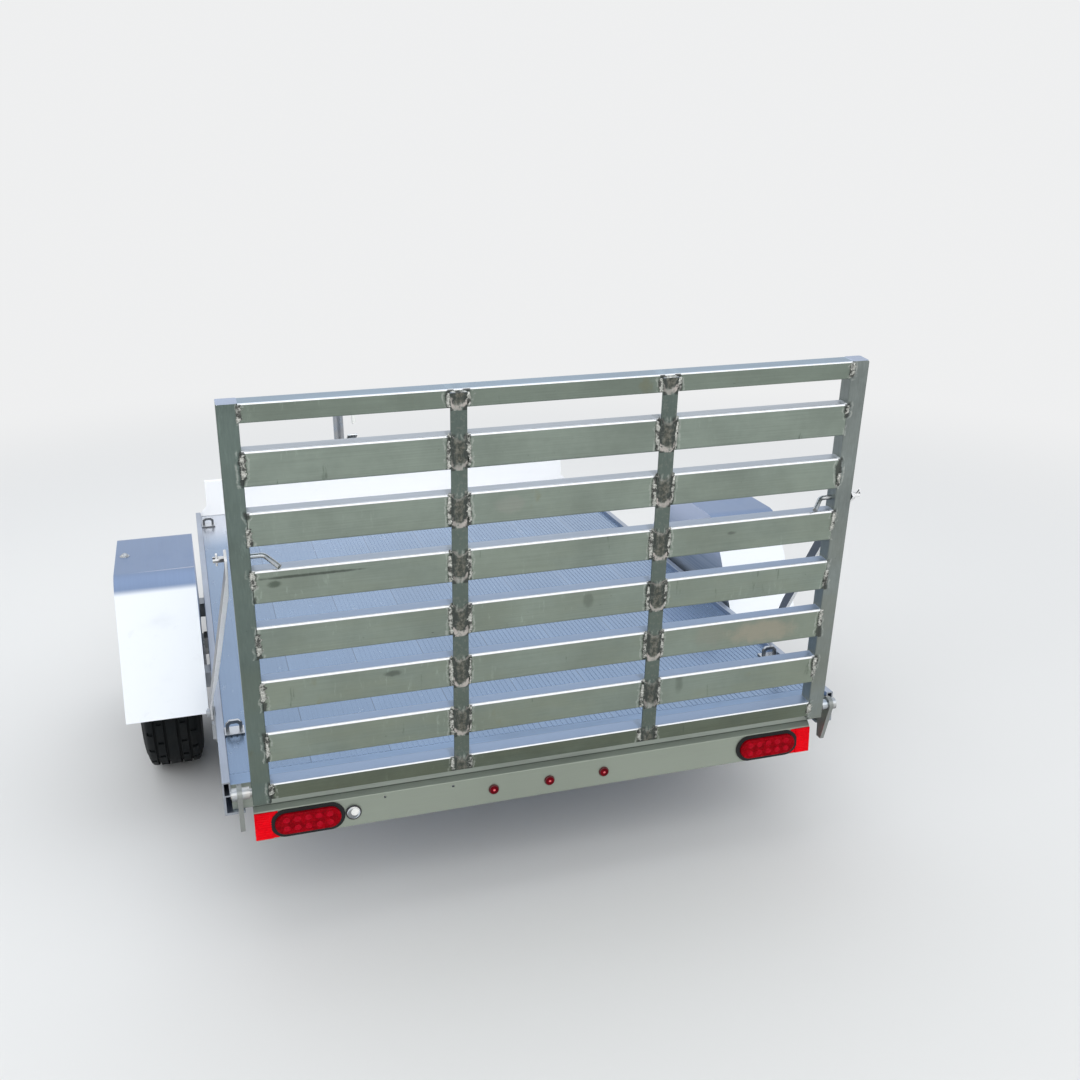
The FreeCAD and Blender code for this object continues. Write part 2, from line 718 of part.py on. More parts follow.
# Tail lamps in rubber grommets
lenses = []
grommets = []
for side, x in (("left", "-Place.lamp_x"), ("right", "Place.lamp_x")):
    lens = stadium("lens_" + side, "Dims.lens_length", "Dims.lens_height",
                   "Place.rear - Dims.lens_depth", "Place.rear + 20", x, "Place.lamp_z")
    lenses.append(lens)
    collar = stadium("collar_" + side, "Place.grommet_length", "Place.grommet_height",
                     "Place.rear - Dims.grommet_lip", "Place.rear", x, "Place.lamp_z")
    neck = stadium("neck_" + side, "Dims.lens_length + 2 * Dims.hole_margin",
                   "Dims.lens_height + 2 * Dims.hole_margin",
                   "Place.rear", "Place.rear + Dims.channel_wall + 6", x, "Place.lamp_z")
    seat = stadium("seat_" + side, "Dims.lens_length + 0.4", "Dims.lens_height + 0.4",
                   "Place.rear - 30", "Place.rear + 30", x, "Place.lamp_z")
    grommets.append(cut("grommet_" + side, fuse("rubber_" + side, collar, neck), seat))
node(group("lenses", *lenses), "tail_lamps")
node(group("grommets", *grommets), "lamp_grommets")

# Three identification lamps and the plate lamp
markers = []
for name, x, radius in ROUND_LAMPS:
    stem = rod(name + "_stem", "Y", radius, "Place.rear - 6", "Place.rear + 14",
               (x, "Place.lamp_z"))
    ring = rod(name + "_ring", "Y", "%s + Dims.marker_ring - Dims.marker_radius" % radius,
               "Place.rear - 3", "Place.rear", (x, "Place.lamp_z"))
    lamp = fuse(name + "_lamp", stem, ring)
    if name == "plate":
        node(lamp, "plate_lamp")
    else:
        markers.append(lamp)
node(group("markers", *markers), "marker_lamps")

# Reflectors on the ends of the lamp face
reflector = box("reflector_right",
                ("Place.lamp_half - Dims.reflector_width", "Place.lamp_half"),
                ("Place.rear - Dims.reflector_depth", "Place.rear"),
                ("Place.lamp_z - Place.reflector_height / 2",
                 "Place.lamp_z + Place.reflector_height / 2"))
node(group("reflectors", reflector, mirror("reflector_left", reflector)), "rear_reflectors")

# Gate, drawn upright about its hinge axis and then leaned back
GATE_FOOT = "-Dims.gate_axis_rise"
GATE_HEAD = "Dims.gate_height - Dims.gate_axis_rise"
GATE_DEEP = ("-Place.half_post", "Place.half_post")


def hang_on_gate(piece):
    """Put a piece drawn about the hinge axis in the leaning gate's plane."""
    turn(piece, X_AXIS, "Dims.gate_lean")
    return move(piece, "0", "Place.hinge_y", "Place.hinge_z")


post_outer = box("post_outer", ("Place.post_inner", "Place.half_gate"), GATE_DEEP,
                 (GATE_FOOT, GATE_HEAD))
post_inner = box("post_inside",
                 ("Place.post_inner + Dims.tube_wall", "Place.half_gate - Dims.tube_wall"),
                 ("-Place.half_post + Dims.tube_wall", "Place.half_post - Dims.tube_wall"),
                 (GATE_FOOT, GATE_HEAD + " - Dims.tube_wall"))
pin_hole = rod("pin_hole", "X", "Dims.pin_radius + Dims.running_gap",
               "Place.post_inner - 1", "Place.half_gate + 1", ("0", "0"))
latch_hole = rod("latch_hole", "X", "Dims.latch_radius + Dims.running_gap",
                 "Place.post_inner - 1", "Place.half_gate + 1", ("0", "Place.latch_w"))
post = cut("post_right", post_outer, post_inner, pin_hole, latch_hole)
post_left = mirror("post_left", post)
for piece, label in ((post, "gate_post_right"), (post_left, "gate_post_left")):
    node(hang_on_gate(group(label, piece)), label)

# Flat bars laid over the rails and slats, and welded along both edges
mid_post = box("mid_post",
               ("Dims.mid_post_offset - Dims.mid_post_width / 2",
                "Dims.mid_post_offset + Dims.mid_post_width / 2"),
               ("-Place.half_post - Dims.mid_post_thickness", "-Place.half_post"),
               (GATE_FOOT + " + Dims.bar_clearance + Dims.mid_post_setback",
                GATE_HEAD + " - Dims.mid_post_setback"))
mid_posts = group("mid_posts", mid_post, mirror("mid_post_left", mid_post))
node(hang_on_gate(mid_posts), "gate_mid_posts")


def gate_row(name, low, height, depth, wall):
    """A square-cut tube between the posts, flush with their rear faces."""
    foot = "%s + (%s)" % (GATE_FOOT, low)
    head = "%s + (%s) + %s" % (GATE_FOOT, low, height)
    back = "-Place.half_post"
    bar = box(name + "_bar", ("-Place.post_inner", "Place.post_inner"),
              (back, "%s + %s" % (back, depth)), (foot, head))
    inside = box(name + "_inside", ("-Place.half_gate", "Place.half_gate"),
                 ("%s + %s" % (back, wall), "%s + %s - %s" % (back, depth, wall)),
                 ("%s + %s" % (foot, wall), "%s - %s" % (head, wall)))
    return cut(name, bar, inside)


# (name, lower edge above the gate's foot)
RAILS = [
    ("gate_bottom_rail", "Dims.bar_clearance"),
    ("gate_top_rail", "Dims.gate_height - Dims.bar_height"),
]
for label, low in RAILS:
    bar = gate_row(label, low, "Dims.bar_height", "Dims.post_width", "Dims.tube_wall")
    node(hang_on_gate(bar), label)
SLAT_COUNT = 6
slats = [
    gate_row("slat_%d" % (SLAT_COUNT - number),
             "Place.slat_first + %d * Place.slat_pitch" % number,
             "Dims.slat_height", "Dims.slat_depth", "Dims.slat_wall")
    for number in range(SLAT_COUNT)
]
node(hang_on_gate(group("slats", *slats)), "gate_slats")

# Latch rods through the posts, with a bent handle that droops beside the slats
for side, sign in (("left", -1), ("right", 1)):
    tip = place("half_gate") + size("latch_tip")
    inner = place("post_inner")
    up = place("latch_w")
    reach = size("handle_reach")
    rod_path = [
        (sign * tip, 0, up),
        (sign * (inner - 0.5 * reach), 0, up),
        (sign * (inner - reach), -0.53 * reach, up - 0.3 * reach),
    ]
    latch = bent_rod("latch_rod_" + side, "Dims.latch_radius", rod_path, 18)
    label = "gate_latch_" + side
    node(hang_on_gate(group(label, latch)), label)

# Hinge ears on the rear cross member, and the pins that carry the gate
ear = prism("ear_plate", "YZ_Plane", [
    ("Place.rear + Dims.closing_setback", "Place.beam_bottom"),
    ("Place.rear + Dims.closing_setback", "Dims.deck_height"),
    ("Place.hinge_y + Dims.ear_radius * 0.7", "Place.hinge_z + Dims.ear_radius * 0.714",
     "Place.hinge_y", "Place.hinge_z + Dims.ear_radius"),
    ("Place.hinge_y - Dims.ear_radius", "Place.hinge_z"),
    ("Place.rear - 22", "Place.hinge_z - Dims.ear_drop"),
    ("Place.rear - 1", "Place.hinge_z - Dims.ear_drop"),
    ("Place.rear - 1", "Place.beam_bottom"),
], "Place.ear_inner", "Place.ear_inner + Dims.ear_thickness")
ear_bore = rod("ear_bore", "X", "Dims.pin_radius", "Place.ear_inner - 1",
               "Place.ear_inner + Dims.ear_thickness + 1", ("Place.hinge_y", "Place.hinge_z"))
ear_right = cut("ear_right", ear, ear_bore)
node(group("ears", ear_right, mirror("ear_left", ear_right)), "hinge_ears")
shank = rod("pin_shank", "X", "Dims.pin_radius", "Place.post_inner + 1", "Place.pin_tip",
            ("Place.hinge_y", "Place.hinge_z"))
nut = rod("pin_nut", "X", "Dims.pin_radius * 1.6", "Place.ear_inner + Dims.ear_thickness",
          "Place.pin_tip - 3", ("Place.hinge_y", "Place.hinge_z"))
washer = rod("pin_washer", "X", "Dims.pin_radius * 1.5", "Place.half_gate + Dims.arm_gap",
             "Place.ear_inner", ("Place.hinge_y", "Place.hinge_z"))
pin = fuse("pin_right", shank, nut, washer)
node(group("pins", pin, mirror("pin_left", pin)), "hinge_pins")

# Support arms: joggled bars, thicker along the middle, from a pivot on the rail to the latch
def arm_side(part, inward):
    """A point of the arm's inner side: part of the way down the slope, and moved inward."""
    across = "Place.arm_head + %s * (Place.arm_foot - Place.arm_head) - %s" % (part, inward)
    along = ("Place.arm_length - Dims.arm_straight - %s * (Place.arm_length"
             " - 2 * Dims.arm_straight)" % part)
    return (across, along)


arm_bar = prism("arm_bar", "XZ_Plane", [
    ("Place.arm_foot", "-Dims.arm_width / 2"),
    ("Place.arm_foot + Dims.arm_thickness", "-Dims.arm_width / 2"),
    ("Place.arm_foot + Dims.arm_thickness", "Dims.arm_straight"),
    ("Place.arm_head + Dims.arm_thickness", "Place.arm_length - Dims.arm_straight"),
    ("Place.arm_head + Dims.arm_thickness", "Place.arm_length + Dims.arm_width / 2"),
    ("Place.arm_head", "Place.arm_length + Dims.arm_width / 2"),
    ("Place.arm_head", "Place.arm_length - Dims.arm_straight"),
    arm_side("0.12", "Dims.arm_swell"),
    arm_side("0.75", "Dims.arm_swell"),
    arm_side("0.88", "0"),
    ("Place.arm_foot", "Dims.arm_straight"),
], "-Dims.arm_width / 2", "Dims.arm_width / 2")
arm_bore = rod("arm_bore", "X", "Dims.pivot_radius + Dims.running_gap", "Place.arm_foot - 1",
               "Place.arm_foot + Dims.arm_thickness + 1", ("0", "0"))
arm_pin = rod("arm_pin", "X", "Dims.latch_radius + 1", "Place.arm_head + 1",
              "Place.arm_head + 30", ("0", "Place.arm_length"))
arm_clip = rod("arm_clip", "Z", "2.5", "Place.arm_length - 24", "Place.arm_length + 24",
               ("Place.arm_head + 22", "0"))
arm = cut("arm_bored", fuse("arm_solid", arm_bar, arm_pin, arm_clip), arm_bore)
ARM_TURN = math.degrees(math.atan2(place("latch_z") - place("arm_z"),
                                   place("latch_y") - place("arm_y"))) - 90
for side, source in (("right", arm), ("left", mirror("arm_mirrored", arm))):
    label = "support_arm_" + side
    piece = group(label, source)
    turn(piece, X_AXIS, ARM_TURN)
    node(move(piece, "0", "Place.arm_y", "Place.arm_z"), label)

# Pivot plates and bolts for the arms
PIVOT = ("Place.arm_y", "Place.arm_z")
pivot_plate = box("pivot_plate", ("Place.rail_outer", "Place.rail_outer + 3"),
                  ("Place.arm_y - 21", "Place.arm_y + 21"),
                  ("Place.frame_bottom", "Place.arm_z + 24"))
pivot_bolt = rod("pivot_bolt", "X", "Dims.pivot_radius", "Place.rail_outer + 2",
                 "Place.arm_foot + Dims.arm_thickness + 12", PIVOT)
pivot_nut = rod("pivot_nut", "X", "Dims.pivot_radius * 1.6",
                "Place.arm_foot + Dims.arm_thickness + 1",
                "Place.arm_foot + Dims.arm_thickness + 9", PIVOT)
pivot_rib = box("pivot_rib", ("Place.rail_outer + 3", "Place.rail_outer + 11"),
                ("Place.arm_y - 12", "Place.arm_y + 12"),
                ("Place.frame_bottom + 4", "Place.arm_z - 32"))
pivot = fuse("pivot_right", pivot_plate, pivot_bolt, pivot_nut, pivot_rib)
node(group("pivots", pivot, mirror("pivot_left", pivot)), "arm_pivots")

# Rubber torsion axle: a square tube with pads under the rails and a trailing arm each side
axle_bar = tube("axle_bar", ("-Place.torsion_inner", "Place.torsion_inner"),
                ("Place.axle_tube_y - Dims.axle_tube / 2",
                 "Place.axle_tube_y + Dims.axle_tube / 2"),
                ("Place.axle_tube_z - Dims.axle_tube / 2", "Place.pad_bottom"), "5", "X")
pads = [
    box("axle_pad_" + side, x, ("Place.axle_tube_y - 75", "Place.axle_tube_y + 75"),
        ("Place.pad_bottom", "Place.frame_bottom"))
    for side, x in (
        ("right", ("Place.rail_outer - Dims.rail_flange", "Place.rail_outer")),
        ("left", ("-Place.rail_outer", "-Place.rail_outer + Dims.rail_flange")),
    )
]
node(fuse("axle", axle_bar, *pads), "axle_beam")
AXLE = ("Place.axle_y", "Dims.tyre_radius")
SWING = ("Place.axle_tube_y", "Place.axle_tube_z")
TORSION = ("Place.torsion_inner", "Place.torsion_outer")
arm_root = rod("arm_root", "X", "Dims.torsion_root", *TORSION, SWING)
arm_tip = rod("arm_tip", "X", "Dims.torsion_tip", *TORSION, AXLE)
arm_web = prism("torsion_web", "YZ_Plane", [
    ("Place.axle_y", "Dims.tyre_radius - Dims.torsion_tip"),
    ("Place.axle_tube_y", "Place.axle_tube_z - Dims.torsion_root"),
    ("Place.axle_tube_y", "Place.axle_tube_z + Dims.torsion_root"),
    ("Place.axle_y", "Dims.tyre_radius + Dims.torsion_tip"),
], *TORSION)
spindle = rod("spindle", "X", "Dims.spindle_radius", "Place.torsion_outer - 2",
              "Place.wheel_x + 22", AXLE)
torsion = fuse("torsion_right", arm_root, arm_tip, arm_web, spindle)
node(torsion, "torsion_arm_right")
node(mirror("torsion_left", torsion), "torsion_arm_left")

# Wheels, turned about their own axis and then set on the spindles
HALF_RIM = "Dims.rim_width / 2"
HALF_TYRE = "Dims.tyre_width / 2"
SIDEWALL = "(Dims.bead_radius + Dims.tyre_radius) / 2"
# (distance from the middle plane, radius) along the outside, then the inside
TYRE_OUTSIDE = [
    (HALF_RIM + " - 6", "Dims.bead_radius"),
    (HALF_RIM + " - 6", "Dims.bead_radius + 15"),
    (HALF_TYRE + " - 13", "Dims.bead_radius + 25"),
    (HALF_TYRE, SIDEWALL),
    (HALF_TYRE + " - 9", "Dims.tyre_radius - 25"),
    (HALF_TYRE + " - 27", "Dims.tyre_radius - 4"),
]
TYRE_INSIDE = [
    (HALF_TYRE + " - 20", "Dims.tyre_radius - 34"),
    (HALF_TYRE + " - Dims.tyre_wall", SIDEWALL),
    (HALF_RIM + " - 13", "Dims.bead_radius + 20"),
    (HALF_RIM + " - 15", "Dims.bead_radius"),
]
# (distance from the middle plane, radius) of the rolled rim, outside then inside
RIM_OUTSIDE = [
    (HALF_RIM, "Dims.bead_radius + 13"),
    (HALF_RIM + " - 5", "Dims.bead_radius + 13"),
    (HALF_RIM + " - 6", "Dims.bead_radius"),
    (HALF_RIM + " - 28", "Dims.bead_radius"),
    (HALF_RIM + " - 38", "Dims.bead_radius - 20"),
]
RIM_INSIDE = [
    (HALF_RIM + " - 36", "Dims.bead_radius - 20 - Dims.rim_sheet"),
    (HALF_RIM + " - 26", "Dims.bead_radius - Dims.rim_sheet"),
    (HALF_RIM + " - 3", "Dims.bead_radius - Dims.rim_sheet"),
]


def both_sides(outside, inside):
    """Closed section that is the same on both sides of the wheel's middle plane."""
    def far(row):
        return ("-(%s)" % row[0], row[1])
    return ([far(row) for row in outside] + outside[::-1]
            + inside[::-1] + [far(row) for row in inside])


tyre_section = both_sides(TYRE_OUTSIDE, TYRE_INSIDE)
tyre_section.insert(len(TYRE_OUTSIDE), ("0", "Dims.tyre_radius"))
tyre = lathe("tyre_section", tyre_section)
barrel = lathe("rim_barrel", both_sides(RIM_OUTSIDE, RIM_INSIDE))
disc = lathe("rim_disc", [
    ("0", "Dims.cap_radius + 6"),
    ("0", "Dims.flange_radius"),
    ("14", "Dims.flange_radius + 22"),
    ("10", "Dims.bead_radius - 23"),
    ("15", "Dims.bead_radius - 23"),
    ("19", "Dims.flange_radius + 22"),
    ("5", "Dims.flange_radius"),
    ("5", "Dims.cap_radius + 6"),
])
STUD_COUNT = 5
WINDOW_COUNT = 8


def around(name, count, radius, make):
    """Like tools spread round the wheel's axis."""
    return [
        make("%s_%d" % (name, number),
             "%s * cos(%g * 1deg)" % (radius, 360 / count * number + 90),
             "%s * sin(%g * 1deg)" % (radius, 360 / count * number + 90))
        for number in range(count)
    ]


stud_holes = around("stud_hole", STUD_COUNT, "Dims.stud_circle",
                    lambda name, y, z: rod(name, "X", "Dims.stud_radius + 1", "-2", "8", (y, z)))
windows = around("window", WINDOW_COUNT, "(Dims.flange_radius + 40)",
                 lambda name, y, z: rod(name, "X", "12", "-2", "30", (y, z)))
rim = cut("rim", fuse("rim_whole", barrel, disc), *stud_holes, *windows)
HUB_BORE = "Dims.spindle_radius + Dims.running_gap"
hub_body = lathe("hub_section", [
    ("-78", HUB_BORE),
    ("-78", "32"),
    ("-16", "38"),
    ("-8", "Dims.flange_radius"),
    ("0", "Dims.flange_radius"),
    ("0", "Dims.cap_radius + 4"),
    ("26", "Dims.cap_radius + 2"),
    ("30", "Dims.cap_radius"),
    ("46", "Dims.cap_radius - 3"),
    ("50", "Dims.cap_radius - 8"),
    ("50", "0"),
    ("24", "0"),
    ("24", HUB_BORE),
])
studs = around("stud", STUD_COUNT, "Dims.stud_circle",
               lambda name, y, z: rod(name, "X", "Dims.stud_radius", "-10", "27", (y, z)))
hub = fuse("hub", hub_body, *studs)
for label, source in (("tyre", tyre), ("rim", rim), ("hub", hub)):
    right = group(label + "_right", source)
    node(move(right, "Place.wheel_x", *AXLE), label + "_right")
    node(mirror(label + "_left", right), label + "_left")

# Fenders: folded boxes with an inner skirt, an open outer side and a rolled lip


def fender_outline(inset, bottom):
    """Trapezoid of the fender's side, inset from the outer sheet face."""
    lean = math.hypot(place("fender_foot") - place("fender_shoulder"),
                      place("fender_top") - size("fender_bottom"))
    slope = (place("fender_foot") - place("fender_shoulder")) / (
        place("fender_top") - size("fender_bottom"))
    side = inset * lean / (place("fender_top") - size("fender_bottom"))
    top = place("fender_top") - inset
    shoulder = place("fender_shoulder") + inset * slope - side
    foot = place("fender_foot") + (size("fender_bottom") - bottom) * slope - side
    middle = place("axle_y")
    return [(middle - foot, bottom), (middle - shoulder, top),
            (middle + shoulder, top), (middle + foot, bottom)]


def fender_block(name, inset, low, high, bottom):
    """Solid with the fender's outline and rounded shoulders."""
    corners = fender_outline(inset, bottom)
    block = prism(name, "YZ_Plane", corners, low, high)
    top = place("fender_top") - inset
    return rounded(name + "_round", block, size("fender_bend") - inset,
                   lambda edge: along_x(edge) and abs(edge.BoundBox.ZMax - top) < 1e-6)


sheet = size("fender_sheet")
fender_skin = fender_block("fender_skin", 0, "Place.fender_inner", "Place.fender_outer",
                           size("fender_bottom"))
fender_space = fender_block("fender_space", sheet, "Place.fender_inner + Dims.fender_sheet",
                            "Place.fender_outer - Dims.fender_sheet",
                            size("fender_bottom") - 40)
fender_mouth = fender_block("fender_mouth", size("fender_lip"), "Place.fender_outer - 20",
                            "Place.fender_outer + 20", size("fender_bottom") - 40)
skirt_cut = box("skirt_cut", ("Place.fender_inner - 5", "Place.fender_inner + 10"),
                ("Place.axle_y - Place.fender_foot + 60", "Place.axle_y + Place.fender_foot - 60"),
                ("Dims.fender_bottom - 20", "Place.skirt_bottom"))
fender = cut("fender_cut", fender_skin, fender_space, fender_mouth, skirt_cut)
node(fender, "fender_right")
node(mirror("fender_cut_left", fender), "fender_left")

# Stays between the rails and the fenders' skirts
stays = []
for spot, y in (("rear", "Place.axle_y - Dims.stay_spread"),
                ("front", "Place.axle_y + Dims.stay_spread")):
    stay = tube("stay_" + spot, ("Place.rail_outer", "Place.fender_inner"),
                ("%s - Dims.stay_width / 2" % y, "%s + Dims.stay_width / 2" % y),
                ("Place.frame_bottom + 14", "Place.frame_bottom + 64"), "4", "X")
    stays += [stay, mirror("stay_left_" + spot, stay)]
node(group("stays", *stays), "fender_stays")

# Tongue: a square tube under the beams with two braces from the frame
node(tube("tongue", ("-Place.half_tongue", "Place.half_tongue"),
          ("Place.tongue_start", "Place.tongue_end"),
          ("Place.tongue_bottom", "Place.tongue_top"), "Dims.tongue_wall", "Y"), "tongue_beam")
brace_outer = box("brace_outer", ("-Dims.brace_width / 2", "Dims.brace_width / 2"),
                  ("-1600", "200"), ("Place.tongue_bottom", "Place.tongue_top"))
brace_inner = box("brace_inner",
                  ("-Dims.brace_width / 2 + Dims.tongue_wall",
                   "Dims.brace_width / 2 - Dims.tongue_wall"), ("-1600", "200"),
                  ("Place.tongue_bottom + Dims.tongue_wall",
                   "Place.tongue_top - Dims.tongue_wall"))
brace_tube = group("brace_tube", cut("brace_hollow", brace_outer, brace_inner))
turn(brace_tube, Z_AXIS, "Dims.brace_angle")
move(brace_tube, "Place.half_tongue + Dims.brace_width / 2", "Place.brace_tip", "0")
brace_room = box("brace_room", ("Place.half_tongue", "Place.half_bed"),
                 ("Place.brace_start", "Place.brace_tip + 400"),
                 ("Place.tongue_bottom - 5", "Place.tongue_top + 5"))
brace = common("brace_right", brace_tube, brace_room)
node(group("braces", brace, mirror("brace_left", brace)), "tongue_braces")

# Ball coupler: a pressed cap that wraps the tongue's end, with the ball's socket
HALF_COUPLER = "(Place.half_tongue + Dims.coupler_wall)"
COUPLER_TOP = "Place.tongue_top + Dims.coupler_wall"
COUPLER_LOW = "Place.tongue_top - Dims.coupler_drop"
BALL = ("0", "Place.ball_y")
cap_box = box("coupler_box", ("-" + HALF_COUPLER, HALF_COUPLER),
              ("Place.ball_y - Dims.coupler_length", "Place.ball_y"), (COUPLER_LOW, COUPLER_TOP))
cap_nose = rod("coupler_front", "Z", HALF_COUPLER, COUPLER_LOW, COUPLER_TOP, BALL)
cap_whole = fuse("coupler_whole", cap_box, cap_nose)
cap_round = rounded("coupler_round", cap_whole, 9,
                    lambda edge: edge.BoundBox.ZLength < 1e-6
                    and abs(edge.BoundBox.ZMax - evaluate(COUPLER_TOP)) < 1e-6
                    and edge.BoundBox.YMax > place("ball_y") - size("coupler_length") + 1)
cap_room = box("coupler_room", ("-Place.half_tongue", "Place.half_tongue"),
               ("Place.ball_y - Dims.coupler_length - 1", "Place.tongue_end"),
               (COUPLER_LOW + " - 1", "Place.tongue_top"))
socket = rod("socket", "Z", "Dims.ball_radius", COUPLER_LOW + " - 1",
             COUPLER_LOW + " + Dims.socket_depth - Dims.ball_radius * 0.5", BALL)
dome = DOC.addObject("Part::Sphere", "socket_dome")
dome.setExpression("Radius", "Dims.ball_radius")
move(dome, "0", "Place.ball_y", COUPLER_LOW + " + Dims.socket_depth - Dims.ball_radius * 0.5")
node(cut("coupler", cap_round, cap_room, socket, dome), "coupler")
LEVER = ("-Dims.lever_width / 2", "Dims.lever_width / 2")
lever = prism("lever", "YZ_Plane", [
    ("Place.ball_y - 30", COUPLER_TOP),
    ("Place.ball_y - 36", COUPLER_TOP + " + 40"),
    ("Place.ball_y - 52", COUPLER_TOP + " + 56"),
    ("Place.ball_y - 144", COUPLER_TOP + " + 102"),
    ("Place.ball_y - 147", COUPLER_TOP + " + 96"),
    ("Place.ball_y - 56", COUPLER_TOP + " + 47"),
    ("Place.ball_y - 62", COUPLER_TOP),
], *LEVER)
node(lever, "coupler_latch")

# Jack on the tongue's left side, with its leg, foot plate and crank
JACK = ("Place.jack_x", "Place.jack_y")
jack_case = rod("jack_case", "Z", "Dims.jack_radius", "Place.jack_bottom", "Place.jack_top", JACK)
jack_cap = rod("jack_cap", "Z", "Dims.jack_radius + 3", "Place.jack_top - 14",
               "Place.jack_top + 12", JACK)
jack_bore = rod("jack_bore", "Z", "Dims.jack_radius - Dims.jack_wall",
                "Place.jack_bottom - 1", "Place.jack_top", JACK)
node(cut("jack", fuse("jack_solid", jack_case, jack_cap), jack_bore), "jack_tube")
saddle = box("jack_saddle", ("Place.jack_x", "-Place.half_tongue"),
             ("Place.jack_y - 26", "Place.jack_y + 26"),
             ("Place.tongue_bottom + 8", "Place.tongue_top - 8"))
saddle_plate = box("jack_plate", ("-Place.half_tongue - 8", "-Place.half_tongue"),
                   ("Place.jack_y - 62", "Place.jack_y + 62"),
                   ("Place.tongue_bottom", "Place.tongue_top"))
saddle_ring = rod("jack_ring", "Z", "Dims.jack_radius + 8", "Place.tongue_bottom + 8",
                  "Place.tongue_top - 8", JACK)
saddle_bore = rod("jack_ring_bore", "Z", "Dims.jack_radius", "Place.tongue_bottom - 8",
                  "Place.tongue_top + 8", JACK)
node(cut("jack_bracket_cut", fuse("jack_bracket_whole", saddle, saddle_plate, saddle_ring),
         saddle_bore), "jack_bracket")
leg_outer = rod("leg_outer", "Z", "Place.leg_radius", "Dims.foot_plate", "Place.leg_top", JACK)
leg_inner = rod("leg_inner", "Z", "Place.leg_radius - Dims.leg_wall", "Dims.foot_plate + 1",
                "Place.leg_top + 1", JACK)
foot = box("foot", ("Place.jack_x - Dims.foot_width / 2", "Place.jack_x + Dims.foot_width / 2"),
           ("Place.jack_y - Dims.foot_length / 2", "Place.jack_y + Dims.foot_length / 2"),
           ("0", "Dims.foot_plate"))
foot_round = rounded("foot_round", foot, 18, along_z)
node(fuse("leg", cut("leg_tube", leg_outer, leg_inner), foot_round), "jack_leg")
crank_shaft = rod("crank_shaft", "Z", "8", "Place.jack_top + 12", "Place.jack_top + 30", JACK)
crank_arm = box("crank_arm", ("Place.jack_x - 12", "Place.jack_x + Dims.crank_reach + 12"),
                ("Place.jack_y - 12", "Place.jack_y + 12"),
                ("Place.jack_top + 24", "Place.jack_top + 30"))
GRIP = ("Place.jack_x + Dims.crank_reach", "Place.jack_y")
crank_rod = rod("crank_rod", "Z", "5", "Place.jack_top + 6", "Place.jack_top + 26", GRIP)
node(fuse("crank", crank_shaft, crank_arm, crank_rod), "jack_crank")
node(rod("grip", "Z", "Dims.grip_radius", "Place.jack_top + 6 - Dims.grip_length",
         "Place.jack_top + 6", GRIP), "crank_grip")

# Tie-down rings on plates at the deck's edges
# (name, distance along the trailer)
RINGS = [
    ("rear", "Place.rear + Dims.ring_rear"),
    ("front", "Place.front - Dims.ring_front"),
]
RING_NEAR = "Place.half_bed - Dims.ring_width + 4"
RING_FAR = "Place.half_bed - 4"
RING_LOW = "Dims.deck_height + Dims.ring_plate"
rings = []
for spot, middle in RINGS:
    plate = box("ring_plate_" + spot,
                ("Place.half_bed - Dims.ring_width", "Place.half_bed"),
                ("%s - 24" % middle, "%s + 24" % middle),
                ("Dims.deck_height", "Dims.deck_height + Dims.ring_plate"))
    loop = prism("ring_loop_" + spot, "XZ_Plane", [
        (RING_NEAR, RING_LOW), (RING_NEAR, RING_LOW + " + 20"),
        (RING_NEAR + " + 10", RING_LOW + " + 30"), (RING_FAR + " - 10", RING_LOW + " + 30"),
        (RING_FAR, RING_LOW + " + 20"), (RING_FAR, RING_LOW),
        (RING_FAR + " - 9", RING_LOW), (RING_FAR + " - 9", RING_LOW + " + 16"),
        (RING_FAR + " - 14", RING_LOW + " + 21"), (RING_NEAR + " + 14", RING_LOW + " + 21"),
        (RING_NEAR + " + 9", RING_LOW + " + 16"), (RING_NEAR + " + 9", RING_LOW),
    ], "%s - Dims.ring_rod" % middle, "%s + Dims.ring_rod" % middle)
    ring = fuse("ring_" + spot, plate, loop)
    rings += [ring, mirror("ring_left_" + spot, ring)]
node(group("rings", *rings), "tie_downs")


def write_parts():
    """Check the whole document and write each sub-part to its own file."""
    DOC.recompute()
    for item in DOC.Objects:
        if "Invalid" in item.State or "Error" in item.State:
            raise ValueError("%s failed: %s" % (item.Name, item.State))
    os.makedirs("parts", exist_ok=True)
    for piece in NODES:
        shape = piece.Shape
        if shape.isNull() or not shape.isValid() or not shape.Solids:
            raise ValueError("bad shape: " + piece.Label)
        for solid in shape.Solids:
            if solid.Volume <= 0:
                raise ValueError("empty solid: " + piece.Label)
        shape.exportStep("parts/%s.step" % piece.Label)
    print(len(NODES), "sub-parts written")


write_parts()
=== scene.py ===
"""Open aluminium utility trailer with a slatted ramp gate, dressed for rendering.

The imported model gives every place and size. This script rounds the edges of the
extrusions, lays the weld beads, cuts the tyre tread, fills the lamps, adds the small
fasteners and gives each part its finish, in metres and in the model's own frame.
"""

from __future__ import annotations

import json
import logging
import math
from dataclasses import dataclass, field
from enum import Enum
from typing import Any, Callable, Sequence

import bmesh
import bpy
from mathutils import Matrix, Vector

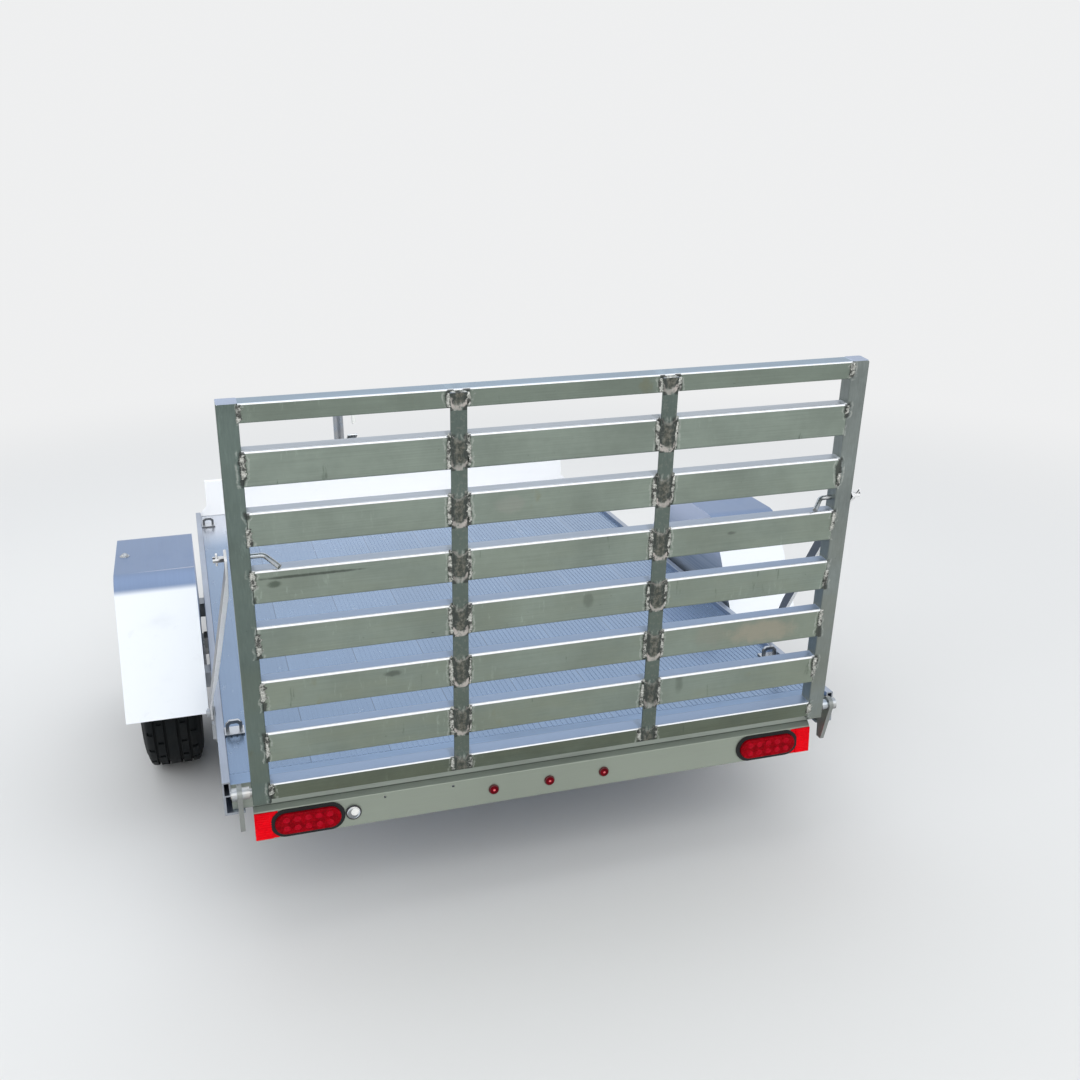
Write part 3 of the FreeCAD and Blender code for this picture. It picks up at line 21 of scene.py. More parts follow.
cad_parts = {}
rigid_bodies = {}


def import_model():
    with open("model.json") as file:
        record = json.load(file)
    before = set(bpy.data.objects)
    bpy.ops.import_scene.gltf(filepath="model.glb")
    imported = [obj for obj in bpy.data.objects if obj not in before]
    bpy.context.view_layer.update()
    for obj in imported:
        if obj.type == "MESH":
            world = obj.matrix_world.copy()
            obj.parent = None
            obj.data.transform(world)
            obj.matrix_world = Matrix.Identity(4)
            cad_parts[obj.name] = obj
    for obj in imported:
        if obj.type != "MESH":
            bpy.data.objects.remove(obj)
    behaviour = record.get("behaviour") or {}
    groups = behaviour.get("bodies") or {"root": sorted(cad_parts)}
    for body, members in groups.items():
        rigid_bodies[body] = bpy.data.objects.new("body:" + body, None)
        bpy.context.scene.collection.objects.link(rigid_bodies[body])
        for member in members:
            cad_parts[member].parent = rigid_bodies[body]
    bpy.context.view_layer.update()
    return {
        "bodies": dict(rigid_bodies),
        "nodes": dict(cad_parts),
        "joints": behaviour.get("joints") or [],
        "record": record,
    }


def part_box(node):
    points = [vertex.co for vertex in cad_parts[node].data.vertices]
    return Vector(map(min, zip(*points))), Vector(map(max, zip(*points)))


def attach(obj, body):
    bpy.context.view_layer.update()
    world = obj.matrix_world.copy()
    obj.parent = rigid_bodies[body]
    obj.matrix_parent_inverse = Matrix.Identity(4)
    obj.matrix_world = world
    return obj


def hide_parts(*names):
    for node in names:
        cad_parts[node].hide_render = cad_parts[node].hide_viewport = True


LOG = logging.getLogger("trailer")
Colour = tuple[float, float, float]
Point = tuple[float, float, float]
SIDES = (("left", -1.0), ("right", 1.0))
PLAIN = (1.0, 1.0, 1.0)


# Shader graph


def pair(operation: str) -> tuple[Callable[..., "Link"], Callable[..., "Link"]]:
    """A method of Link that adds a Math node, and its reflected form.

    Args:
        operation: The node's operation.

    Returns:
        The method with the link's own value first, and the one with it last.
    """

    def direct(link: "Link", *others: "Link | float") -> "Link":
        """The result, with the link's own value first."""
        values = dict(enumerate((link, *others)))
        return link.graph.node("ShaderNodeMath", values, operation=operation)

    def reflected(link: "Link", other: "Link | float") -> "Link":
        """The result, with the link's own value last."""
        return link.graph.node("ShaderNodeMath", {0: other, 1: link}, operation=operation)

    return direct, reflected


class Link:
    """A socket of a shader graph that Python operators work on."""

    def __init__(self, graph: "Graph", socket: bpy.types.NodeSocket | None) -> None:
        """Keep the graph and the output socket that is wrapped."""
        self.graph = graph
        self.socket = socket

    __add__, __radd__ = pair("ADD")
    __sub__, __rsub__ = pair("SUBTRACT")
    __mul__, __rmul__ = pair("MULTIPLY")
    __truediv__, __rtruediv__ = pair("DIVIDE")
    __pow__, __rpow__ = pair("POWER")
    __abs__ = pair("ABSOLUTE")[0]
    fraction = pair("FRACT")[0]
    whole = pair("FLOOR")[0]
    sine = pair("SINE")[0]
    least = pair("MINIMUM")[0]
    most = pair("MAXIMUM")[0]

    def step(self, low: float, high: float) -> "Link":
        """Smooth rise from 0 at low to 1 at high, or a fall where low is above high.

        Args:
            low: The value that gives 0.
            high: The value that gives 1.

        Returns:
            The step, from 0 to 1.
        """
        first, last = sorted((low, high))
        rise = self.graph.node("ShaderNodeMapRange",
                               {"Value": self, "From Min": first, "From Max": last},
                               interpolation_type="SMOOTHSTEP")
        return 1.0 - rise if low > high else rise

    def between(self, low: "Colour | Link", high: "Colour | Link") -> "Link":
        """Colour mixed from low to high by this value."""
        # The colour sockets share their names with others, so they go by number.
        return self.graph.node("ShaderNodeMix", {0: self, 6: low, 7: high}, 2, data_type="RGBA")


class Graph:
    """A node tree in the making."""

    def __init__(self, tree: bpy.types.NodeTree) -> None:
        """Start with an empty tree."""
        self.tree = tree
        self.tree.nodes.clear()

    def node(self, kind: str, inputs: dict[int | str, Any] | None = None,
             output: int | str = 0, **settings: Any) -> Link:
        """Add one node.

        Args:
            kind: The node's type.
            inputs: Values or links for its sockets, by name or number.
            output: The output socket to return.
            **settings: Its properties.

        Returns:
            The chosen output as a link.
        """
        made = self.tree.nodes.new(kind)
        for key, value in settings.items():
            setattr(made, key, value)
        for key, value in (inputs or {}).items():
            socket = made.inputs[key]
            if isinstance(value, Link):
                self.tree.links.new(value.socket, socket)
            elif socket.type == "RGBA":
                socket.default_value = (*value, 1.0)
            else:
                socket.default_value = value
        return Link(self, made.outputs[output] if made.outputs else None)

    def place(self, stretch: Point = PLAIN, turn: float = 0.0) -> Link:
        """Object coordinates, stretched, and turned about X in radians."""
        where = self.node("ShaderNodeTexCoord", output="Object")
        return self.node("ShaderNodeMapping", {
            "Vector": where, "Rotation": (turn, 0.0, 0.0), "Scale": stretch})

    def axes(self, where: Link) -> tuple[Link, ...]:
        """The three numbers of a vector."""
        return tuple(self.node("ShaderNodeSeparateXYZ", {"Vector": where}, name)
                     for name in "XYZ")

    def facing(self, lean: float = 0.0) -> tuple[Link, Link, Link]:
        """How far the surface faces right, ahead and up, in axes leant back about X.

        Args:
            lean: The lean in radians.

        Returns:
            Three numbers from -1 to 1.
        """
        x, y, z = self.axes(self.node("ShaderNodeNewGeometry", output="Normal"))
        side, up = math.sin(lean), math.cos(lean)
        return x, y * up + z * side, z * up - y * side

    def noise(self, scale: float, detail: float, rough: float = 0.55,
              stretch: Point = PLAIN, turn: float = 0.0) -> Link:
        """Cloudy noise from 0 to 1 in coordinates that can be stretched and turned."""
        return self.node("ShaderNodeTexNoise", {
            "Vector": self.place(stretch, turn), "Scale": scale, "Detail": detail,
            "Roughness": rough})

    def cells(self, scale: float) -> Link:
        """Random grey for each cell of a broken pattern."""
        colour = self.node("ShaderNodeTexVoronoi", {"Vector": self.place(), "Scale": scale},
                           "Color")
        return self.node("ShaderNodeRGBToBW", {"Color": colour})

    def bump(self, height: Link, distance: float, strength: float,
             normal: Link | None = None) -> Link:
        """Surface normal bumped by a height.

        Args:
            height: The height, in any measure.
            distance: Metres that a height of 1 stands for.
            strength: How much of the bump shows.
            normal: The normal that is bumped, or None for the surface's own.

        Returns:
            The new normal.
        """
        inputs = {"Height": height, "Distance": distance, "Strength": strength}
        if normal is not None:
            inputs["Normal"] = normal
        return self.node("ShaderNodeBump", inputs)

    def seen(self) -> Link:
        """1 for the camera's rays and for those that gloss or clear pieces send on."""
        straight, gloss, clear = (
            self.node("ShaderNodeLightPath", output="Is %s Ray" % kind)
            for kind in ("Camera", "Glossy", "Transmission"))
        return straight.most(gloss).most(clear)


class Recipe(Graph):
    """A procedural material in the making."""

    def __init__(self, name: str) -> None:
        """Start an empty material with this name."""
        self.material = bpy.data.materials.new(name)
        self.material.use_nodes = True
        super().__init__(self.material.node_tree)

    def finish(self, **inputs: Any) -> bpy.types.Material:
        """Close the graph with a Principled shader.

        Args:
            **inputs: Values by socket name, with underscores for spaces.

        Returns:
            The finished material.
        """
        named = {key.replace("_", " "): value for key, value in inputs.items()}
        shader = self.node("ShaderNodeBsdfPrincipled", named)
        self.node("ShaderNodeOutputMaterial", {"Surface": shader})
        return self.material


# Finishes


def scaled(colour: Colour, share: float | Colour) -> Colour:
    """Colour times a number, or times a number for each channel."""
    shares = share if isinstance(share, tuple) else (share,) * 3
    return tuple(channel * part for channel, part in zip(colour, shares))


class Grain(Enum):
    """Which way an extrusion or sheet was drawn."""

    ALONG_X = (1.2, 60.0, 60.0)
    ALONG_Y = (60.0, 1.2, 60.0)
    ALONG_Z = (60.0, 60.0, 1.2)


@dataclass(frozen=True)
class Finish:
    """What every finish shares: a name, and a shader that its own class works out."""

    name: str

    def sockets(self, recipe: Recipe) -> dict[str, Any]:
        """Values and links of the shader's sockets, with underscores for spaces.

        Args:
            recipe: The graph that the nodes go into.

        Returns:
            The shader's sockets by name.
        """
        raise NotImplementedError

    def make(self) -> bpy.types.Material:
        """Build the material."""
        recipe = Recipe(self.name)
        return recipe.finish(**self.sockets(recipe))


@dataclass(frozen=True)
class Aluminium(Finish):
    """Bare aluminium as it left the mill, with drawing lines and dull clouds."""

    colour: Colour
    grain: Grain = Grain.ALONG_Y
    metallic: float = 0.85
    roughness: float = 0.4
    cloud: float = 0.18
    lines: float = 0.10
    # top and side are painted light: colours that up-facing and sideways faces take in place of
    # sky reflection, highlight and shade.
    top: Colour | None = None
    side: Colour | None = None

    def clouded(self, shade: Link, colour: Colour) -> Link:
        """The colour between the darkest and lightest shade that the clouds give it."""
        light = tuple(min(1.0, channel) for channel in scaled(colour, 1.0 + self.cloud))
        return shade.between(scaled(colour, 1.0 - self.cloud), light)

    def sockets(self, recipe: Recipe) -> dict[str, Any]:
        """Milled metal, with painted light on its tops and sides.

        Args:
            recipe: The graph that the nodes go into.

        Returns:
            The shader's sockets by name.
        """
        drawn = recipe.noise(6.0, 3.0, stretch=self.grain.value)
        cloud = recipe.noise(3.1, 5.0)
        speck = recipe.noise(160.0, 2.0)
        shade = (cloud * 0.8 + drawn * 0.35 - 0.08).step(0.2, 0.8)
        colour = self.clouded(shade, self.colour)
        across, _, above = recipe.facing()
        # Painted light: up-facing and sideways faces take the top and side colours, which stand
        # in for sky reflection, highlight and shade.
        for own, turned in ((self.top, above), (self.side, abs(across))):
            if own is not None:
                colour = turned.step(0.55, 0.85).between(colour, self.clouded(shade, own))
        return {
            "Base_Color": (speck.step(0.62, 0.75) * 0.25).between(colour, (0.3, 0.31, 0.31)),
            "Metallic": self.metallic,
            "Roughness": self.roughness + (cloud - 0.5) * 0.22 + (drawn - 0.5) * self.lines,
            "Normal": recipe.bump(drawn * 0.6 + speck * 0.2, 0.0004, 0.5),
        }


@dataclass(frozen=True)
class Mark:
    """A stain or scratch on the gate, in the gate's own plane."""

    x: float
    rise: float
    half_width: float
    half_height: float
    colour: Colour
    strength: float

    def spot(self, x: Link, rise: Link, ragged: Link) -> Link:
        """How strongly the mark shows, from 0 to 1, with a ragged outline.

        Args:
            x: Place across the gate.
            rise: Height above the hinge, in the gate's plane.
            ragged: Noise that breaks the outline, from 0 to 1.

        Returns:
            The strength.
        """
        aside = (x - self.x) / self.half_width
        above = (rise - self.rise) / self.half_height
        reach = aside * aside + above * above
        return (reach + (ragged - 0.5) * 2.8).step(1.9, 0.1)


@dataclass(frozen=True)
class GateAluminium(Finish):
    """Dull green-grey gate metal, sooty at its joints, with a painted sky reflection on its tops
    and a painted highlight along its rear upper edges.
    """

    sizes: "GateSizes"
    colour: Colour
    across: bool = False
    mottle: float = 0.10
    drips: float = 0.0
    smears: bool = False
    # The next three colours are painted light: a painted sky reflection on up-facing faces, bluer
    # on the lower rows, and a painted highlight on the rounded rear upper edges.
    top: Colour = (0.46, 0.52, 0.64)
    low_sky_reflection: Colour = (0.32, 0.40, 0.53)
    painted_edge_highlight: Colour = (0.95, 0.96, 0.98)
    marks: tuple[Mark, ...] = ()

    def soot(self, recipe: Recipe, x: Link, row: Link, ragged: Link) -> tuple[Link, Link]:
        """Soot beside the joints and the pale rim around it.

        Args:
            recipe: The graph.
            x: Place across the gate.
            row: Height above the lower edge of the slat at this level.
            ragged: Noise that breaks the outline, from 0 to 1.

        Returns:
            The soot and the rim, each from 0 to 1.
        """
        sizes = self.sizes
        blotch = recipe.noise(17.0, 3.0).step(0.56, 0.44)
        reach = abs(abs(x) - sizes.post_seam) + blotch * 0.012
        for seam in (sizes.bar_middle + sizes.bar_half, sizes.bar_middle - sizes.bar_half):
            reach = reach.least(abs(abs(x) - seam))
        broken = reach + (ragged - 0.5) * 0.026
        level = row.step(-0.008, 0.002) * row.step(sizes.slat_high + 0.008,
                                                   sizes.slat_high - 0.002)
        rim = broken.step(0.0170, 0.0140) * broken.step(0.0105, 0.0125)
        return broken.step(0.0105, 0.0060) * level, rim * level

    def smear(self, x: Link, row: Link, ragged: Link) -> tuple[Link, Link]:
        """Chalky curve across the bar at the foot of a joint, and the burnt face above.

        Args:
            x: Place across the gate.
            row: Height above the lower edge of the slat at this level.
            ragged: Noise that breaks the outline, from 0 to 1.

        Returns:
            The curve and the burnt face, each from 0 to 1.
        """
        sizes = self.sizes
        across = abs(abs(x) - sizes.bar_middle) / sizes.bar_half
        curve = row - 0.006 - across * across * 0.015 + (ragged - 0.5) * 0.022
        foot = abs(curve).step(0.0095, 0.0030)
        crest = row - sizes.slat_high + 0.012 - across * across * 0.016
        crest = abs(crest + (ragged - 0.5) * 0.016).step(0.0050, 0.0015) * 0.35
        burnt = curve.step(0.002, 0.012) * row.step(sizes.slat_high, sizes.slat_high - 0.02)
        return foot.most(crest), burnt

    def milled(self, recipe: Recipe, rise: Link, tone: Link) -> Link:
        """The bare faces, with their tints, scuffs, stains, ticks and runs.

        Args:
            recipe: The graph.
            rise: Height above the hinge, in the gate's plane.
            tone: Light and dark of the metal, from 0 to 1.

        Returns:
            The colour.
        """
        own, lean = self.colour, self.sizes.lean
        dark, light = scaled(own, 1.0 - self.mottle), scaled(own, 1.0 + self.mottle)
        tint = recipe.noise(3.7, 3.0, stretch=(1.0, 1.0, 2.5)).step(0.36, 0.64)
        face = (tint * 0.5).between(tone.between(dark, light), scaled(own, (1.10, 1.03, 0.90)))
        face = rise.step(0.0, 1.0).between(
            face, tone.between(scaled(dark, 1.05), scaled(light, 1.10)))
        scuff = recipe.noise(1.9, 5.0, 0.7, (40.0, 40.0, 9.0), -lean).step(0.56, 0.70)
        patch = recipe.noise(2.3, 3.0).step(0.48, 0.62)
        stain = recipe.noise(9.5, 4.0, 0.6, (1.0, 1.0, 0.6)).step(0.66, 0.74)
        tick = recipe.noise(74.0, 2.0, 0.5, (0.7, 1.0, 1.6)).step(0.745, 0.775)
        ticked = recipe.noise(6.0, 2.0).step(0.50, 0.60)
        streak = recipe.noise(1.5, 5.0, 0.6, (26.0, 26.0, 2.6), -lean).step(0.66, 0.73)
        for amount, colour in ((scuff * patch * 0.40, scaled(own, 1.75)),
                               (stain * 0.45, scaled(own, (1.00, 0.84, 0.62))),
                               (tick * ticked * 0.55, (0.055, 0.065, 0.052)),
                               (streak * self.drips, (0.065, 0.088, 0.066))):
            face = amount.between(face, colour)
        return face

    def sockets(self, recipe: Recipe) -> dict[str, Any]:
        """Weathered metal in the leaning gate's own plane.

        Args:
            recipe: The graph that the nodes go into.

        Returns:
            The shader's sockets by name.
        """
        sizes = self.sizes
        x, y, z = recipe.axes(recipe.place())
        side, up = math.sin(sizes.lean), math.cos(sizes.lean)
        rise = (z - sizes.hinge[1]) * up - (y - sizes.hinge[0]) * side
        row = ((rise - sizes.slat_low) / sizes.pitch + 8.0).fraction() * sizes.pitch
        _, ahead, above = recipe.facing(sizes.lean)
        behind = ahead * -1.0
        rear = behind.step(0.5, 0.8)

        grain = Grain.ALONG_X if self.across else Grain.ALONG_Z
        drawn = recipe.noise(5.0, 3.0, stretch=grain.value, turn=-sizes.lean)
        cloud = recipe.noise(4.2, 6.0, 0.6)
        fine = recipe.noise(62.0, 4.0, 0.62)
        ragged = recipe.noise(34.0, 4.0, 0.66)
        tone = (cloud * 0.75 + drawn * 0.30 + fine * 0.10 - 0.08).step(0.22, 0.80)
        face = self.milled(recipe, rise, tone)
        for mark in self.marks:
            face = (mark.spot(x, rise, ragged) * mark.strength).between(face, mark.colour)

        # Painted sky reflection on the up-facing faces, bluer on the lower rows.
        upper = recipe.noise(5.0, 4.0, stretch=(1.0, 30.0, 30.0)) * 0.5 + cloud * 0.5
        upper = upper.step(0.25, 0.75).between(scaled(self.top, 0.90), scaled(self.top, 1.10))
        upper = rise.step(0.82, 0.36).between(upper, self.low_sky_reflection)
        face = above.step(0.88, 0.98).between(face, upper)
        # Painted highlight along the rounded rear upper edges.
        edge = above.step(0.06, 0.26) * above.step(0.985, 0.95) * behind.step(0.05, 0.16)
        face = (edge * 0.95).between(face, self.painted_edge_highlight)

        soot, rim = self.soot(recipe, x, row, ragged)
        face = (rim * fine.step(0.35, 0.6) * rear * 0.42).between(face, (0.55, 0.57, 0.53))
        face = (soot * rear * 0.86).between(face, (0.030, 0.034, 0.030))
        metal = 0.80 - soot * 0.6
        if self.smears:
            wavy = [value + (recipe.noise(scale, 3.0, 0.6) - 0.5) * 0.022
                    for value, scale in ((x, 52.0), (row, 45.0))]
            foot, burnt = self.smear(wavy[0], wavy[1], ragged)
            grime = recipe.noise(105.0, 4.0, 0.7)
            strong = recipe.noise(8.3, 2.0).step(0.36, 0.56) * 0.55 + 0.45
            foot = foot * strong * grime.step(0.34, 0.50)
            scorch = grime.step(0.40, 0.60).between((0.050, 0.052, 0.045), (0.15, 0.135, 0.108))
            face = (burnt * (1.0 - soot) * rear * 0.75).between(face, scorch)
            face = (grime.step(0.53, 0.63) * rear * 0.30).between(face, (0.24, 0.25, 0.22))
            face = (foot * rear * 0.88).between(face, (0.50, 0.455, 0.42))
            metal = metal - foot * 0.35
        return {
            "Base_Color": face,
            "Metallic": metal,
            "Roughness": 0.40 + (cloud - 0.5) * 0.22 + soot * 0.35,
            "Normal": recipe.bump(drawn * 0.5 + fine * 0.5 + soot * 0.8, 0.0005, 0.5),
        }


@dataclass(frozen=True)
class RibbedDeck(Finish):
    """Extruded deck boards with close ribs, in a soft blue that is a painted sky reflection, with
    a pale painted reflection of the front wall at the wall's foot.
    """

    colour: Colour
    board: float
    groove: float
    # The next two fields place and colour the painted reflection of the front wall on the deck
    # near the wall.
    wall_reflection_from: float
    pale: Colour = (0.78, 0.79, 0.83)

    def sockets(self, recipe: Recipe) -> dict[str, Any]:
        """Boards that differ a little, with scuffs, dark seams and calm groove walls.

        Args:
            recipe: The graph that the nodes go into.

        Returns:
            The shader's sockets by name.
        """
        x, y, _ = recipe.axes(recipe.place())
        along = x / self.board + 8.0
        shade = recipe.node("ShaderNodeTexWhiteNoise", {"W": along.whole()},
                            noise_dimensions="1D")
        rib = (x * (math.tau / self.groove)).sine()
        drawn = recipe.noise(4.0, 4.0, stretch=Grain.ALONG_Y.value)
        cloud = recipe.noise(2.4, 5.0, 0.6)
        scuff = recipe.noise(7.0, 6.0, 0.7, (3.0, 1.4, 3.0)).step(0.60, 0.72)
        tone = (cloud * 0.55 + drawn * 0.25 + shade * 0.22).step(0.25, 0.85)
        colour = tone.between(scaled(self.colour, 0.90), scaled(self.colour, 1.12))
        # Strength of a faint dark line along each rib, varying in clouds.
        rib_line_strength = recipe.noise(1.6, 3.0).step(0.42, 0.62) * 0.035 + 0.005
        seam = abs(along.fraction() - 0.5).step(0.490, 0.4985)
        # The first entry is the painted reflection of the front wall.
        for amount, other in (
                (y.step(self.wall_reflection_from, self.wall_reflection_from + 0.36) * 0.8, self.pale),
                (rib.step(0.72, 1.0) * rib_line_strength, (0.12, 0.15, 0.21)),
                (seam * 0.42, (0.10, 0.12, 0.16)),
                (scuff * 0.22, (0.72, 0.77, 0.82))):
            colour = amount.between(colour, other)
        _, _, above = recipe.facing()
        true = recipe.node("ShaderNodeNewGeometry", output="Normal")
        calm = (above.step(-0.5, 0.0) * 0.8).between(true, (0.0, 0.0, 1.0))
        return {
            "Base_Color": colour,
            "Metallic": 0.80,
            "Roughness": 0.24 + (cloud - 0.5) * 0.16 + scuff * 0.12,
            "Normal": recipe.bump(rib * 0.02 + drawn * 0.3, 0.0003, 0.3, calm),
        }


@dataclass(frozen=True)
class BrightSheet(Finish):
    """Rolled sheet: a painted sky reflection in blue on its flat tops, white on its slopes, soft
    waves, and painted shade and light on its inward faces.
    """

    colour: Colour
    # top, inner and shaded are painted light: a painted sky reflection on flat tops, and on
    # inward faces painted light high up and painted shade low down.
    top: Colour
    inner: Colour
    metallic: float
    roughness: float
    shaded: Colour = (0.21, 0.26, 0.33)

    def sockets(self, recipe: Recipe) -> dict[str, Any]:
        """Sheet with its own colour on its slopes, and painted light on its tops and its inward
        faces.

        Args:
            recipe: The graph that the nodes go into.

        Returns:
            The shader's sockets by name.
        """
        x, _, z = recipe.axes(recipe.place())
        across, _, above = recipe.facing()
        wave = recipe.noise(2.0, 2.0)
        rolled = recipe.noise(4.0, 2.0, stretch=(50.0, 1.0, 1.0))
        smear = recipe.noise(3.0, 5.0, 0.6, (2.0, 1.0, 5.0)).step(0.56, 0.8)
        hand = recipe.noise(2.2, 6.0, 0.7, (6.0, 6.0, 6.0)).step(0.60, 0.70)
        face = (smear * 0.6).between(self.colour, scaled(self.colour, 0.94))
        face = (hand * 0.10).between(face, scaled(self.colour, 0.6))
        # Painted sky reflection on the flat tops.
        upper = (wave * 0.6 + rolled * 0.4).step(0.25, 0.75).between(
            scaled(self.top, 0.95), scaled(self.top, 1.06))
        face = above.step(0.54, 0.72).between(face, upper)
        # Inward faces: painted shade low down, painted light high up, with faint lines.
        lines = recipe.noise(3.0, 3.0, stretch=(1.0, 0.6, 40.0), turn=0.5)
        low = z.step(0.50, 0.67).between(self.shaded, self.inner)
        lit = (lines.step(0.3, 0.7) * 0.25).between(low, (0.62, 0.66, 0.74))
        return {
            "Base_Color": (across * x).step(0.0, -0.55).between(face, lit),
            "Metallic": self.metallic,
            "Roughness": self.roughness + smear * 0.10 + (rolled - 0.5) * 0.06,
            "Normal": recipe.bump(wave + rolled * 0.02, 0.003, 0.22),
        }


@dataclass(frozen=True)
class PlatedSteel(Finish):
    """Zinc plated steel, bright with a faint warm and cold bloom, with painted shade on its
    downward faces.
    """

    colour: Colour
    roughness: float = 0.28

    def sockets(self, recipe: Recipe) -> dict[str, Any]:
        """Bloom over a fine grain.

        Args:
            recipe: The graph that the nodes go into.

        Returns:
            The shader's sockets by name.
        """
        bloom = recipe.noise(24.0, 4.0)
        fine = recipe.noise(220.0, 2.0)
        _, _, above = recipe.facing()
        colour = bloom.step(0.3, 0.7).between(scaled(self.colour, (0.90, 0.97, 1.05)),
                                              scaled(self.colour, (1.04, 1.0, 0.95)))
        colour = (fine.step(0.6, 0.8) * 0.3).between(colour, (0.30, 0.30, 0.29))
        # Painted shade on the downward faces.
        colour = (above.step(0.2, -0.7) * 0.65).between(colour, (0.08, 0.084, 0.084))
        return {
            "Base_Color": colour,
            "Metallic": 0.95,
            "Roughness": self.roughness + (bloom - 0.5) * 0.25,
            "Normal": recipe.bump(fine, 0.0002, 0.4),
        }


@dataclass(frozen=True)
class SpangledZinc(Finish):
    """Hot-dip galvanising with its crystal spangle."""

    def sockets(self, recipe: Recipe) -> dict[str, Any]:
        """A shade and a gloss for each crystal.

        Args:
            recipe: The graph that the nodes go into.

        Returns:
            The shader's sockets by name.
        """
        spangle = recipe.cells(62.0)
        tone = (spangle * 0.7 + recipe.noise(7.0, 4.0) * 0.3).step(0.2, 0.8)
        return {
            "Base_Color": tone.between((0.34, 0.355, 0.37), (0.58, 0.60, 0.61)),
            "Metallic": 0.8,
            "Roughness": 0.38 + spangle * 0.2,
            "Normal": recipe.bump(spangle, 0.0003, 0.3),
        }


@dataclass(frozen=True)
class WeldMetal(Finish):
    """Aluminium weld bead: pale ripples with soot in their hollows."""

    def sockets(self, recipe: Recipe) -> dict[str, Any]:
        """Bright grit with patches of soot.

        Args:
            recipe: The graph that the nodes go into.

        Returns:
            The shader's sockets by name.
        """
        patch = recipe.noise(62.0, 4.0, 0.65)
        grit = recipe.noise(240.0, 2.0)
        soot = (patch * 0.85 + grit * 0.2).step(0.515, 0.595)
        bright = grit.step(0.3, 0.7).between((0.30, 0.31, 0.28), (0.72, 0.72, 0.67))
        return {
            "Base_Color": (soot * 0.92).between(bright, (0.028, 0.031, 0.027)),
            "Metallic": 0.75 - soot * 0.65,
            "Roughness": 0.36 + soot * 0.40,
            "Normal": recipe.bump(grit + patch, 0.0008, 0.7),
        }


@dataclass(frozen=True)
class RimPaint(Finish):
    """Silver wheel paint with fine metal flake and brake dust in clouds."""

    colour: Colour = (0.60, 0.61, 0.62)

    def sockets(self, recipe: Recipe) -> dict[str, Any]:
        """Flake under a clear coat.

        Args:
            recipe: The graph that the nodes go into.

        Returns:
            The shader's sockets by name.
        """
        cloud = recipe.noise(12.0, 4.0)
        tone = (recipe.noise(520.0, 1.0) * 0.4 + 0.3).between(self.colour, (0.75, 0.76, 0.77))
        return {
            "Base_Color": (cloud.step(0.55, 0.8) * 0.35).between(tone, (0.33, 0.31, 0.28)),
            "Metallic": 0.55,
            "Roughness": 0.32 + cloud * 0.14,
            "Coat_Weight": 0.3,
            "Coat_Roughness": 0.15,
        }


@dataclass(frozen=True)
class LampPlastic(Finish):
    """Clear coloured plastic over what lies behind it."""

    colour: Colour
    deep: Colour
    scale: float
    roughness: float = 0.12

    def sockets(self, recipe: Recipe) -> dict[str, Any]:
        """Prisms under a scratched face.

        Args:
            recipe: The graph that the nodes go into.

        Returns:
            The shader's sockets by name.
        """
        prism = recipe.cells(self.scale * 7.0)
        tone = (recipe.noise(self.scale, 2.0) * 0.7 + prism * 0.35).step(0.3, 0.8)
        return {
            "Base_Color": tone.between(self.deep, self.colour),
            "Roughness": self.roughness + recipe.noise(60.0, 3.0) * 0.08,
            "Specular_IOR_Level": 0.04,
            "Coat_Weight": 0.01,
            "Coat_Roughness": 0.05,
            "Normal": recipe.bump(prism, 0.0003, 0.25),
        }


@dataclass(frozen=True)
class Coating(Finish):
    """Rubber, plastic or painted iron: clouds of a second colour over a fine grain."""

    colour: Colour
    second: Colour
    share: float = 0.5
    band: tuple[float, float] = (0.5, 0.8)
    cloud: tuple[float, ...] = (30.0, 4.0)
    grain: tuple[float, ...] = (400.0, 2.0)
    relief: tuple[float, float] = (0.0002, 0.4)
    roughness: float = 0.40
    swing: float = 0.1
    metallic: float = 0.0
    specular: float = 0.5

    def sockets(self, recipe: Recipe) -> dict[str, Any]:
        """Dust or dirt in clouds, and a fine skin.

        Args:
            recipe: The graph that the nodes go into.

        Returns:
            The shader's sockets by name.
        """
        cloud = recipe.noise(*self.cloud)
        return {
            "Base_Color": (cloud.step(*self.band) * self.share).between(self.colour, self.second),
            "Metallic": self.metallic,
            "Roughness": self.roughness + cloud * self.swing,
            "Specular_IOR_Level": self.specular,
            "Normal": recipe.bump(recipe.noise(*self.grain), *self.relief),
        }


SLAT_MARKS = (
    Mark(0.555, 0.272, 0.085, 0.030, (0.42, 0.36, 0.28), 0.50),
    Mark(0.410, 0.280, 0.040, 0.034, (0.30, 0.28, 0.24), 0.25),
    Mark(-0.590, 0.576, 0.110, 0.0035, (0.05, 0.06, 0.05), 0.75),
    Mark(-0.675, 0.560, 0.014, 0.008, (0.05, 0.07, 0.05), 0.65),
    Mark(-0.415, 0.292, 0.020, 0.007, (0.06, 0.07, 0.06), 0.60),
    Mark(-0.130, 0.700, 0.030, 0.020, (0.34, 0.33, 0.30), 0.30),
    Mark(0.070, 0.425, 0.012, 0.018, (0.10, 0.12, 0.10), 0.45),
    Mark(0.330, 0.155, 0.010, 0.030, (0.09, 0.11, 0.09), 0.45),
    Mark(0.440, 0.565, 0.012, 0.004, (0.08, 0.09, 0.08), 0.55),
)


